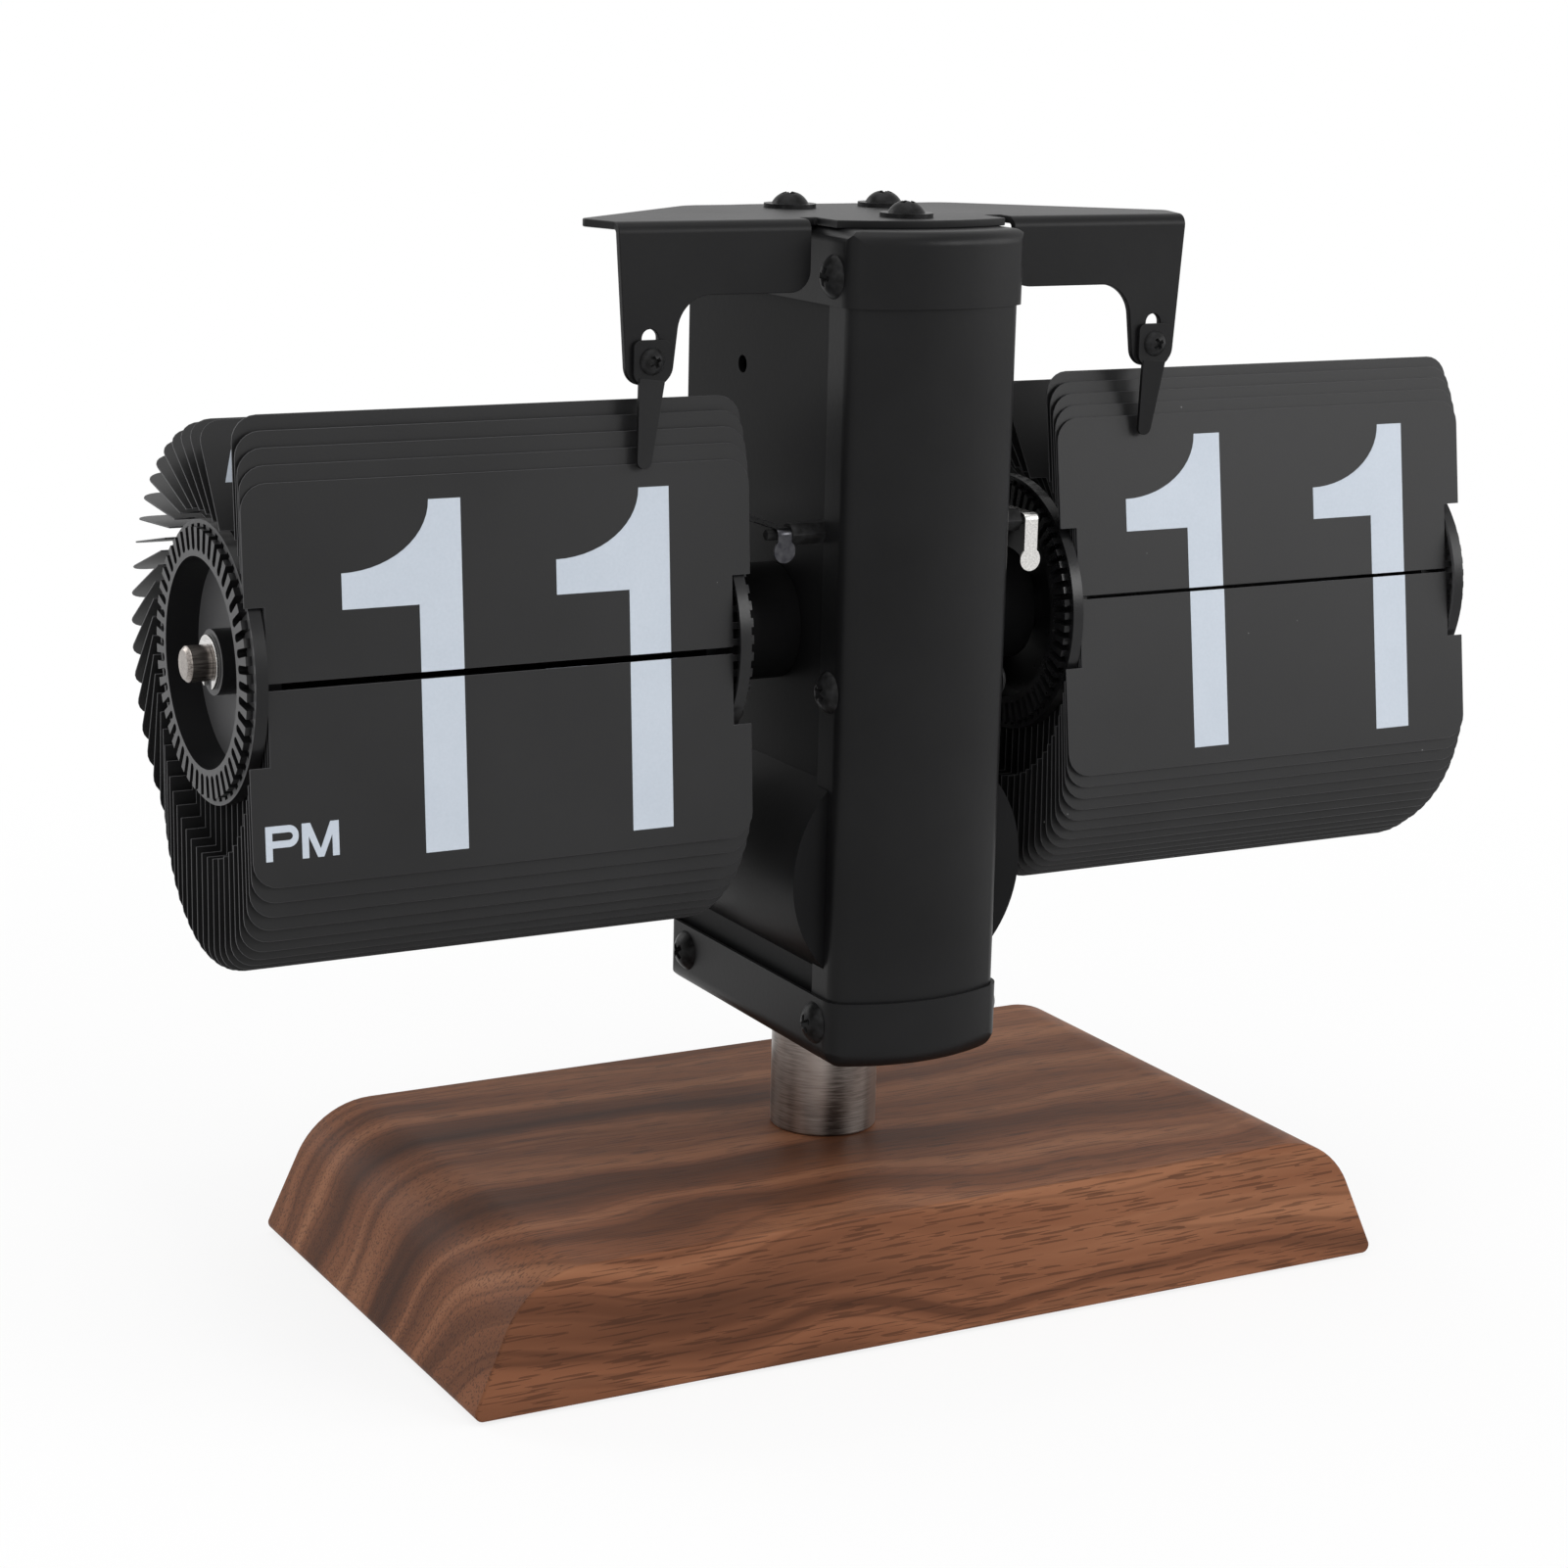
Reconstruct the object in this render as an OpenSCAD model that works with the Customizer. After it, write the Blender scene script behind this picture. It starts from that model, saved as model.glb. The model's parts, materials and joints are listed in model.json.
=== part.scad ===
// Flip clock with two flap drums on a pillar over a wooden base.
// Millimetres; X to the right, Y to the back, Z up; the origin lies on the floor under the pillar.

/* [Base] */
// Length of the base at the floor
base_length = 152.4; // [130:0.2:180]
// Depth of the base at the floor
base_depth = 81.4; // [70:0.2:100]
// Height of the top of the base above the floor
base_top = 20.3; // [18:0.1:30]
// Slope of the base ends, degrees from upright
base_end_slope = 24; // [12:1:30]
// Slope of the front and back faces, degrees from upright
base_face_slope = 3; // [0:0.5:6]
// Radius of the rounded upper edge at each end of the base
base_shoulder = 13; // [8:0.5:14]
// Thickness of the pad under the base
pad_thickness = 0.5; // [0.4:0.1:1.5]

/* [Pillar] */
// Outside diameter of the pillar tube
tube_diameter = 16.2; // [13:0.2:20]
// Wall of the pillar tube
tube_wall = 1.2; // [0.8:0.1:2]
// Length of the tube between the base and the housing
tube_length = 17.6; // [14:0.2:30]
// Diameter of the bolt through the tube
bolt_diameter = 6; // [5:0.5:6.5]

/* [Housing] */
// Height of the housing with both end caps
housing_height = 120.4; // [117:0.2:130]
// Width of the front column
column_width = 27.4; // [26.4:0.2:28.4]
// Wall of the front column
column_wall = 0.9; // [0.7:0.1:1.2]
// Radius of the rounded front face of the column
front_radius = 28; // [24:0.5:40]
// Place of the rear face of the housing
housing_rear = 25; // [23:0.5:27]
// Height of the bottom cap
low_cap_height = 10.2; // [9:0.1:12]
// Height of the top cap
top_cap_height = 10.6; // [10:0.1:14]
// Wall of the caps outside the column
cap_wall = 0.6; // [0.5:0.1:1]

/* [Battery] */
// Diameter of the battery cell
cell_diameter = 34.2; // [33:0.1:34.4]
// Length of the battery cell with its terminal
cell_length = 61.5; // [58:0.5:62]
// Wall of the battery bulges and of the tube behind them
bulge_wall = 1.3; // [1:0.1:1.6]

/* [Flap drums] */
// Width of one flap
flap_width = 74; // [66:0.5:80]
// Place of the inner edge of the flaps
flap_inner = 26; // [25.5:0.1:28]
// Free length of a flap measured from its ears
flap_length = 25.5; // [24:0.1:26]
// Thickness of a flap
flap_thickness = 0.22; // [0.16:0.01:0.24]
// Radius of the free corners of a flap
flap_corner = 3.5; // [1:0.1:5]
// Radius of the circle on which the ears sit
ear_circle = 17.3; // [17:0.05:17.6]
// Flaps in the hour drum
hour_flap_count = 48; // [40:4:48]
// Flaps in the minute drum
minute_flap_count = 60; // [50:2:60]
// Lean of the upright hour flaps
hour_lean = 4; // [3:0.5:5]
// Lean of the upright minute flaps
minute_lean = 8; // [7:0.5:9]
// Diameter of the drum shafts
shaft_diameter = 5; // [4:0.1:5.4]

/* [Bracket] */
// Thickness of the bracket sheet
bracket_sheet = 1.1; // [0.8:0.1:1.4]
// Distance from the middle to the outer edge of each bracket arm
bracket_reach = 46; // [44:0.5:50]

/* [Hidden] */
$fn = 96;

// Gaps: pressed parts of one body, running fits, loose fits between bodies, and cutter overshoot
press_gap = 0.02;
running_gap = 0.06;
free_gap = 0.35;
over = 0.5;

// Base: lower edge radius at the ends, pad inset, bolt head pocket
base_foot_radius = 1.2;
pad_inset = 2.5;
bolt_gap = 0.2;
head_pocket_depth = 8;
head_across = bolt_diameter * 1.65;
head_pocket_radius = head_across * 0.75;
head_height = 4;
nut_height = 4.6;

// Housing heights
housing_bottom = base_top + tube_length;
housing_top = housing_bottom + housing_height;
low_cap_floor = 2;
low_cap_edge = 3.2;
top_cap_floor = 1.2;
top_cap_edge = 2;
inside_bottom = housing_bottom + low_cap_floor;
inside_top = housing_top - top_cap_floor;

// Housing plan: corner and front arcs of the column, and the two flat side covers inside it
corner_radius = 3.2;
rear_corner = 2;
column_apex = -29.8;
column_rear = -20;
front_centre = column_apex + front_radius;
corner_x = column_width / 2 - corner_radius;
corner_y = front_centre - sqrt(pow(front_radius - corner_radius, 2) - pow(corner_x, 2));
cover_outer = column_width / 2 - column_wall;
cover_wall = 1;
cover_inner = cover_outer - cover_wall;
cover_front = corner_y + 1;
cover_rear = housing_rear - rear_corner + sqrt(pow(rear_corner, 2) - pow(rear_corner - column_wall, 2));
vent_diameter = 2.6;
vent_offset = [11.5, 36];

// Battery: cell, bulges in the side covers, tube behind the housing
battery_z = housing_bottom + 27.9;
cell_radius = cell_diameter / 2;
bulge_bore = cell_radius + 0.6;
bulge_radius = bulge_bore + bulge_wall;
bulge_front = cover_front;
bulge_gap = 0.1;
terminal_radius = 4.75;
terminal_height = 1.5;
contact_sheet = 0.8;
cell_front = bulge_front + 0.3 + contact_sheet;
cell_rear = cell_front + cell_length;
battery_end = cell_rear + 3.7;
battery_cap_flange = 2;
battery_cap_skirt = 2.6;
spring_radii = [3, 11, 13];
spring_sheet = 0.4;
coin_slot = [14, 2, 1.2];
rear_wall = 1;

// Screws: pan heads on the side of the housing and flanged heads on the bracket
screw_radius = 1.5;
screw_hole = screw_radius + 0.1;
head_radius = 2.9;
head_dome = 1.7;
side_head_radius = 3.1;
screw_reach = 5;
flange_radius = 3.8;
flange_thickness = 0.6;
low_screw_z = housing_bottom + 6.2;
top_screw_z = housing_top - 6.6;
mid_screw_z = housing_bottom + 55.2;
cap_screw_y = [-21.9, 19.2];
mid_screw_y = -22.4;

// Drums: place of the axle, wheels, slots and flap ears
axle_y = -4.3;
axle_z = housing_bottom + 62.6;
flap_outer = flap_inner + flap_width;
notch_width = 2.8;
notch_length = 9.4;
ear_half = 0.45;
ear_length = 1.15;
flap_lip = 0.65;
arc_steps = 6;
upright_flaps = 5;
fading_flaps = 10;
upper_push = 0.3;
upper_fade = 0.25;
lower_push = 0.4;
lower_fade = 0.3;
hour_first = 3;
minute_first = 14;
hour_fan_lag = 7;
minute_fan_lag = 9.5;
hour_pack = [hour_flap_count, hour_first, hour_lean, hour_fan_lag];
minute_pack = [minute_flap_count, minute_first, minute_lean, minute_fan_lag];

wheel_gap = 0.4;
wheel_thickness = 2.6;
wheel_face_step = 0.9;
wheel_groove = 1.1;
ring_radius = ear_circle + 1;
groove_outer = ear_circle + 1.45;
groove_inner = ear_circle - 1.7;
flange_rim = ear_circle + 2;
dish_radius = ear_circle - 2.9;
dish_depth = 4.7;
dish_web = 1.2;
dish_wall = 0.9;
slot_root = ear_circle - 2.1;
slot_share = 0.58;
hub_radius = 4.5;
hub_recess = 1.6;
outer_face = flap_outer - notch_width + wheel_gap + wheel_thickness;
inner_face = flap_inner + notch_width - wheel_gap - wheel_thickness;
web_depth = dish_depth + dish_web;
sleeve_radius = 4.2;
shaft_radius = shaft_diameter / 2;
shaft_bore = shaft_radius + press_gap;
shaft_end = outer_face + 2.4;
shaft_tip = 0.5;
clip_radius = 3.8;
clip_thickness = 0.6;
clip_neck = shaft_radius - 0.6;
clip_place = outer_face - hub_recess + 0.05;

// Bosses and bushings that carry the two shafts
boss_radius = 8.5;
boss_end = inner_face + hub_recess - free_gap;
bushing_radius = 3.6;
bushing_flange = 5;
bushing_flange_thickness = 1;

// Gear train between the two shafts
pressure_angle = 25;
addendum = 0.85;
dedendum = 1.05;
gear_backlash = 0.09;
gear_distance = 15;
wheel_teeth = 48;
pinion_teeth = 12;
hour_teeth = 60;
change_teeth = 10;
wheel_module = 2 * gear_distance / (wheel_teeth + pinion_teeth);
hour_module = 2 * gear_distance / (hour_teeth + change_teeth);
gear_width = 1.6;
gear_hub = 4.5;
gear_hub_length = 1.6;
minute_gear_x = cover_inner - bushing_flange_thickness - gear_hub_length - gear_width - 0.4;
hour_gear_x = -minute_gear_x;
minute_pinion_width = 2.2;
minute_pinion_x = minute_gear_x - minute_pinion_width - gear_width;
change_wheel_x = minute_pinion_x + (minute_pinion_width - gear_width) / 2;
change_pinion_x = hour_gear_x - 0.4;
change_pinion_width = 3.4;
minute_shaft_start = minute_pinion_x - 0.6;
pinion_bore = pinion_teeth * wheel_module / 2 - 1.2;
shaft_step = 0.8;
hour_shaft_start = hour_gear_x + 3.6;
arbor_radius = 1.2;
arbor_bush_radius = 3;
arbor_bush_seat = 0.5;
arbor_bush_length = 2.2;
arbor_z = axle_z + gear_distance;
motor_y = axle_y + gear_distance;
motor_radius = 8;
motor_back = hour_gear_x + 3.4;
motor_plate = 0.8;
motor_foot = 5;
motor_hole = 0.8;
motor_face = minute_gear_x - motor_plate - 0.6;
motor_shaft_radius = 0.75;
motor_pinion_x = minute_gear_x - 0.2;
motor_pinion_width = 2.2;
motor_screw_offset = 5.2;
board_thickness = 1.6;
board_size = [20, 28];
board_z = inside_top - 38;

// Bracket: plan, fold, legs and the slots for the fingers
plate_top = housing_top + bracket_sheet;
fold_front = -19.5;
bend_radius = 1.6;
bend_end = fold_front + bend_radius;
arm_inner = 16.5;
plate_half = 13.6;
plate_apex = -24.5;
plate_side = -21.5;
notch_back = -15.5;
arm_back = -11.5;
arm_flare = 2;
plate_rear = 9.5;
plate_shoulder = 21.5;
flange_bottom = plate_top - 10;
leg_bottom = plate_top - 22;
leg_taper = 1.4;
leg_width = 8.2;
leg_fillet = 5;
leg_corner = 2.6;
bracket_screw_x = 7.8;
bracket_screw_points = [[0, -17], [-bracket_screw_x, 3], [bracket_screw_x, 3]];
finger_x = bracket_reach - 4.9;
slot_width = 2.5;
finger_slot_low = plate_top - 20.8;
finger_slot_high = plate_top - 14.4;
finger_sheet = 0.6;
finger_tab = [5.5, 6];
finger_screw_z = plate_top - 18.7;
finger_tab_low = plate_top - 21.8;
finger_lug = [1.45, 1.2];
finger_screw_radius = 0.85;
finger_head_radius = 1.9;
finger_head_height = 1.2;
finger_nut_radius = 2;
finger_nut_height = 1;
tongue_top = 3.9;
tongue_tip = 2.2;
tongue_relief = 0.15;
hour_tip_z = plate_top - 33.2;
minute_tip_z = plate_top - 32.2;
hour_tongue_tilt = 8;
minute_tongue_tilt = -4;

// Click springs beside the inner wheels
post_y = -19;
post_z = axle_z + 15.2;
post_across = 3;
post_end = 19;
pin_radius = 0.8;
pin_end = 22.5;
leaf_start = 19.3;
leaf_width = 2.2;
leaf_sheet = 0.25;
leaf_length = 12;
hour_tongue_drop = 3.2;
minute_tongue_drop = 6.8;
spoon_radius = 1.7;

// Plain helpers

// Extrudes an outline drawn in X and Y upwards from height z
module flat(z, height) {
    translate([0, 0, z]) linear_extrude(height) children();
}

// Extrudes an outline drawn in X and Z backwards from y
module upright(y, depth) {
    translate([0, y + depth, 0]) rotate([90, 0, 0]) linear_extrude(depth) children();
}

// Extrudes an outline drawn in Y and Z to the right from x
module across(x, width) {
    translate([x, 0, 0]) rotate([90, 0, 90]) linear_extrude(width) children();
}

// Draws the right-hand piece, or its mirror image on the left
module on_side(side) {
    mirror([side < 0 ? 1 : 0, 0, 0]) children();
}

module ring(outer, inner) {
    difference() {
        circle(outer);
        circle(inner);
    }
}

module hexagon(flats) {
    circle(d = flats / cos(30), $fn = 6);
}

function unit(v) = v / norm(v);
function polar(radius, angle) = [radius * cos(angle), radius * sin(angle)];
function arc(centre, radius, from, to, steps) =
    [for (i = [0 : steps]) centre + polar(radius, from + (to - from) * i / steps)];

// Area between a corner of an outline and the arc that rounds it
module corner_piece(points, i, radius) {
    count = len(points);
    corner = points[i];
    back = unit(points[(i + count - 1) % count] - corner);
    ahead = unit(points[(i + 1) % count] - corner);
    half = acos(back * ahead) / 2;
    middle = unit(back + ahead);
    centre = corner + middle * radius / sin(half);
    reach = radius / tan(half);
    difference() {
        polygon([corner + back * reach, corner - middle * radius / 3, corner + ahead * reach, centre]);
        translate(centre) circle(radius);
    }
}

function turn_at(points, i) =
    let (count = len(points),
        in = points[i] - points[(i + count - 1) % count],
        out = points[(i + 1) % count] - points[i])
    in[0] * out[1] - in[1] * out[0];

// Polygon, counter-clockwise, with arcs at its corners; a radius of 0 leaves the corner sharp
module rounded(points, radii) {
    last = len(points) - 1;
    difference() {
        union() {
            polygon(points);
            for (i = [0 : last])
                if (radii[i] > 0 && turn_at(points, i) < 0) corner_piece(points, i, radii[i]);
        }
        for (i = [0 : last])
            if (radii[i] > 0 && turn_at(points, i) > 0) corner_piece(points, i, radii[i]);
    }
}

// Involute gear outline with a tooth on the first axis
function involute(angle) = tan(angle) * 180 / PI - angle;
function half_tooth(teeth, size, radius) =
    let (pitch = teeth * size / 2,
        base = pitch * cos(pressure_angle),
        flank = acos(min(1, base / radius)))
    90 / teeth - gear_backlash / 4 / pitch * 180 / PI + involute(pressure_angle) - involute(flank);
function gear_points(teeth, size) =
    let (pitch = teeth * size / 2,
        steps = [-dedendum, -dedendum / 2, 0, addendum / 2, addendum],
        last = len(steps) - 1)
    [for (tooth = [0 : teeth - 1]) each concat(
        [for (i = [0 : last]) let (r = pitch + steps[i] * size)
            polar(r, tooth * 360 / teeth - half_tooth(teeth, size, r))],
        [for (i = [last : -1 : 0]) let (r = pitch + steps[i] * size)
            polar(r, tooth * 360 / teeth + half_tooth(teeth, size, r))])];

module gear(x, width, teeth, size, turn, bore, y, z) {
    across(x, width) translate([y, z]) difference() {
        rotate(turn) polygon(gear_points(teeth, size));
        circle(bore);
    }
}

// Base, pad and pillar

module walnut_base() {
    half = base_length / 2;
    half_depth = base_depth / 2;
    rise = base_top - pad_thickness;
    top_half = half - rise * tan(base_end_slope);
    top_depth = half_depth - rise * tan(base_face_slope);
    color("saddlebrown") difference() {
        intersection() {
            upright(-base_depth, 2 * base_depth) rounded(
                [[-half, pad_thickness], [half, pad_thickness], [top_half, base_top], [-top_half, base_top]],
                [base_foot_radius, base_foot_radius, base_shoulder, base_shoulder]);
            across(-base_length, 2 * base_length) polygon(
                [[-half_depth, pad_thickness], [half_depth, pad_thickness],
                [top_depth, base_top], [-top_depth, base_top]]);
        }
        flat(0, base_top + over) circle(bolt_diameter / 2 + bolt_gap);
        flat(0, pad_thickness + head_pocket_depth) circle(head_pocket_radius);
    }
}

module base_pad() {
    color("dimgray") flat(0, pad_thickness)
        square([base_length - 2 * (base_foot_radius + pad_inset), base_depth - 2 * pad_inset], center = true);
}

module pillar_tube() {
    color("silver") flat(base_top, tube_length) ring(tube_diameter / 2, tube_diameter / 2 - tube_wall);
}

module pillar_bolt() {
    head_top = pad_thickness + head_pocket_depth;
    color("silver") {
        flat(head_top - head_height, head_height) hexagon(head_across);
        flat(head_top, inside_bottom + nut_height + 1 - head_top) circle(bolt_diameter / 2);
    }
}

module pillar_nut() {
    color("silver") flat(inside_bottom, nut_height) difference() {
        hexagon(head_across);
        circle(bolt_diameter / 2 + press_gap);
    }
}

// Housing

// Plan of the column and caps, grown by the given amount on every side
module housing_outline(grow) {
    half = column_width / 2 + grow;
    corner = corner_radius + grow;
    back = housing_rear + grow;
    back_corner = rear_corner + grow;
    tangent = 2 * [corner_x, corner_y - front_centre];
    translate([-half, corner_y]) square([2 * half, back - back_corner - corner_y]);
    translate([back_corner - half, corner_y])
        square([2 * (half - back_corner), back - corner_y]);
    for (side = [-1, 1]) {
        translate([side * corner_x, corner_y]) circle(corner);
        translate([side * (half - back_corner), back - back_corner]) circle(back_corner);
    }
    translate([0, front_centre]) intersection() {
        circle(front_radius + grow);
        polygon([[0, 0], [-tangent[0], tangent[1]], tangent]);
    }
}

// Shell of a cap standing on its closed end, whose edges are rounded on all four sides
module cap_shell(height, floor, edge) {
    half = column_width / 2 + cap_wall;
    back = housing_rear + cap_wall;
    nose = front_radius + cap_wall;
    difference() {
        intersection() {
            flat(0, height) housing_outline(cap_wall);
            upright(-2 * nose, 4 * nose) rounded([[-half, 0], [half, 0], [half, height], [-half, height]],
                [edge, edge, 0, 0]);
            union() {
                translate([0, front_centre, 0]) rotate_extrude()
                    rounded([[0, 0], [nose, 0], [nose, height], [0, height]], [0, edge, 0, 0]);
                across(-nose, 2 * nose) rounded([[front_centre, 0], [back, 0], [back, height],
                    [front_centre, height]], [0, edge, 0, 0]);
            }
        }
        flat(floor, height) housing_outline(running_gap);
    }
}

// Clear holes for every screw in the sides of the housing
module side_holes() {
    reach = column_width;
    for (y = cap_screw_y, z = [low_screw_z, top_screw_z])
        across(-reach, 2 * reach) translate([y, z]) circle(screw_hole);
    across(-reach, 2 * reach) translate([mid_screw_y, mid_screw_z]) circle(screw_hole);
}

module bottom_cap() {
    color("#26272a") difference() {
        translate([0, 0, housing_bottom]) cap_shell(low_cap_height, low_cap_floor, low_cap_edge);
        flat(housing_bottom - over, low_cap_floor + 2 * over) circle(bolt_diameter / 2 + bolt_gap);
        upright(housing_rear - over, base_depth)
            translate([0, battery_z]) circle(bulge_radius + running_gap);
        side_holes();
    }
}

module top_cap() {
    color("#26272a") difference() {
        translate([0, 0, housing_top]) mirror([0, 0, 1])
            cap_shell(top_cap_height, top_cap_floor, top_cap_edge);
        for (place = bracket_screw_points)
            flat(inside_top - over, top_cap_floor + 2 * over) translate(place) circle(screw_hole);
        side_holes();
    }
}

module front_column() {
    color("#2b2c30") difference() {
        flat(inside_bottom, inside_top - inside_bottom) difference() {
            intersection() {
                housing_outline(0);
                translate([-column_width, column_apex - over])
                    square([2 * column_width, column_rear - column_apex + over]);
            }
            housing_outline(-column_wall);
        }
        upright(bulge_front - bulge_gap, base_depth)
            translate([0, battery_z]) circle(bulge_radius + bulge_gap);
        across(-column_width, 2 * column_width)
            translate([post_y, post_z]) hexagon(post_across + 2 * running_gap);
        side_holes();
    }
}

// Side cover with its half of the battery bulge, drawn on the right
module side_cover() {
    difference() {
        union() {
            across(cover_inner, cover_wall)
                translate([cover_front, inside_bottom])
                square([cover_rear - cover_front, inside_top - inside_bottom]);
            upright(bulge_front, housing_rear - rear_wall - bulge_front) intersection() {
                translate([0, battery_z]) circle(bulge_radius);
                translate([cover_inner, 0]) square([bulge_radius, housing_top]);
            }
        }
        upright(bulge_front + bulge_wall, base_depth) translate([0, battery_z]) circle(bulge_bore);
        upright(housing_rear - rear_wall, base_depth)
            translate([0, battery_z]) circle(bulge_radius + running_gap);
        across(0, column_width) translate([axle_y, axle_z]) circle(bushing_radius + press_gap);
        across(0, cover_inner + arbor_bush_seat)
            translate([axle_y, arbor_z]) circle(arbor_bush_radius + press_gap);
        across(0, column_width) translate([axle_y, axle_z] + vent_offset) circle(d = vent_diameter);
        side_holes();
    }
}

module left_side_cover() {
    color("#222327") on_side(-1) side_cover();
}

module right_side_cover() {
    color("#222327") on_side(1) side_cover();
}

// Rear wall between the side covers, in one piece with the battery tube behind it
module rear_cover() {
    color("#222327") difference() {
        union() {
            upright(housing_rear - rear_wall, rear_wall)
                translate([-cover_inner, inside_bottom])
                square([2 * cover_inner, inside_top - inside_bottom]);
            upright(housing_rear - rear_wall, battery_end - housing_rear + rear_wall)
                translate([0, battery_z]) circle(bulge_radius);
        }
        upright(0, base_depth) translate([0, battery_z]) circle(bulge_bore);
    }
}

// Pan-head screw along +Z with its seat at height 0
module pan_screw(radius, head, dome, reach) {
    crown = (head * head + dome * dome) / (2 * dome);
    translate([0, 0, -reach]) cylinder(r = radius, h = reach);
    intersection() {
        cylinder(r = head, h = dome);
        translate([0, 0, dome - crown]) sphere(crown);
    }
}

module side_screws() {
    color("#3a3b3e") for (side = [-1, 1]) on_side(side) {
        for (y = cap_screw_y, z = [low_screw_z, top_screw_z])
            translate([column_width / 2 + cap_wall, y, z]) rotate([0, 90, 0])
                pan_screw(screw_radius, side_head_radius, head_dome, screw_reach);
        translate([column_width / 2, mid_screw_y, mid_screw_z]) rotate([0, 90, 0])
            pan_screw(screw_radius, side_head_radius, head_dome, screw_reach);
    }
}

// Battery

module battery_cell() {
    color("goldenrod") {
        upright(cell_front, terminal_height + over) translate([0, battery_z]) circle(terminal_radius);
        upright(cell_front + terminal_height, cell_length - terminal_height)
            translate([0, battery_z]) circle(cell_radius);
    }
}

module front_contact() {
    color("silver") upright(cell_front - contact_sheet, contact_sheet)
        translate([-cover_inner, battery_z - terminal_radius * 1.5])
        square([2 * cover_inner, terminal_radius * 3]);
}

// Cap with a skirt that plugs into the battery tube and a coin slot outside
module battery_cap() {
    skirt = bulge_bore - running_gap;
    color("#222327") difference() {
        union() {
            upright(battery_end, battery_cap_flange) translate([0, battery_z]) circle(bulge_radius);
            upright(battery_end - battery_cap_skirt, battery_cap_skirt + over)
                translate([0, battery_z]) circle(skirt);
        }
        upright(battery_end - battery_cap_skirt - over, battery_cap_skirt + over)
            translate([0, battery_z]) circle(skirt - 1.5);
        translate([0, battery_end + battery_cap_flange - coin_slot[2] / 2 + over / 2, battery_z])
            cube([coin_slot[0], coin_slot[2] + over, coin_slot[1]], center = true);
    }
}

// Dished washer spring that bears on the rear of the cell
module battery_spring() {
    tip = cell_rear + free_gap;
    length = battery_end - tip;
    inner = spring_radii[0];
    seat = spring_radii[1];
    rim = spring_radii[2];
    lap = spring_sheet / 2;
    color("silver") translate([0, battery_end, battery_z]) rotate([90, 0, 0]) rotate_extrude()
        polygon([[inner, length], [inner, length - spring_sheet], [seat, 0], [rim, 0],
            [rim, spring_sheet], [seat + lap, spring_sheet], [inner + lap, length]]);
}

// Bracket and fingers

module plate_outline() {
    rise = plate_side - plate_apex;
    nose = (plate_half * plate_half + rise * rise) / (2 * rise);
    half = [[plate_half, plate_side], [plate_half, notch_back], [arm_inner, notch_back],
        [arm_inner, bend_end], [bracket_reach, bend_end], [bracket_reach + arm_flare, arm_back],
        [plate_shoulder, plate_rear]];
    radii = [0, 0.6, 0.6, 0, 0, 1.5, 6];
    last = len(half) - 1;
    rounded(concat(half, [for (i = [last : -1 : 0]) [-half[i][0], half[i][1]]]),
        concat(radii, [for (i = [last : -1 : 0]) radii[i]]));
    intersection() {
        translate([0, plate_apex + nose]) circle(nose);
        translate([-plate_half, plate_apex]) square([2 * plate_half, rise + over]);
    }
}

module slot_outline(low, high, width) {
    for (z = [low + width / 2, high - width / 2]) translate([finger_x, z]) circle(width / 2);
    translate([finger_x - width / 2, low + width / 2]) square([width, high - low - width]);
}

// Folded front of one arm: bend, flange and leg
module arm_front() {
    bend_low = plate_top - bend_radius;
    leg_outer = bracket_reach - leg_taper;
    across(arm_inner, bracket_reach - arm_inner) translate([bend_end, bend_low]) intersection() {
        ring(bend_radius, bend_radius - bracket_sheet);
        translate([-bend_radius, 0]) square(bend_radius);
    }
    upright(fold_front, bracket_sheet) difference() {
        rounded([[arm_inner, bend_low], [arm_inner, flange_bottom],
            [bracket_reach - leg_width - leg_taper, flange_bottom],
            [leg_outer - leg_width + leg_taper, leg_bottom],
            [leg_outer, leg_bottom], [bracket_reach, bend_low]],
            [0, 3, leg_fillet, leg_corner, leg_corner, 0]);
        slot_outline(finger_slot_low, finger_slot_high, slot_width);
    }
}

module top_bracket() {
    color("#303136") {
        difference() {
            flat(housing_top, bracket_sheet) plate_outline();
            for (place = bracket_screw_points)
                flat(housing_top - over, bracket_sheet + 2 * over) translate(place) circle(screw_hole);
        }
        for (side = [-1, 1]) on_side(side) arm_front();
    }
}

module bracket_screws() {
    color("#3a3b3e") for (place = bracket_screw_points) translate([place[0], place[1], plate_top]) {
        cylinder(r = flange_radius, h = flange_thickness);
        pan_screw(screw_radius, head_radius, head_dome + flange_thickness, screw_reach);
    }
}

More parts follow.
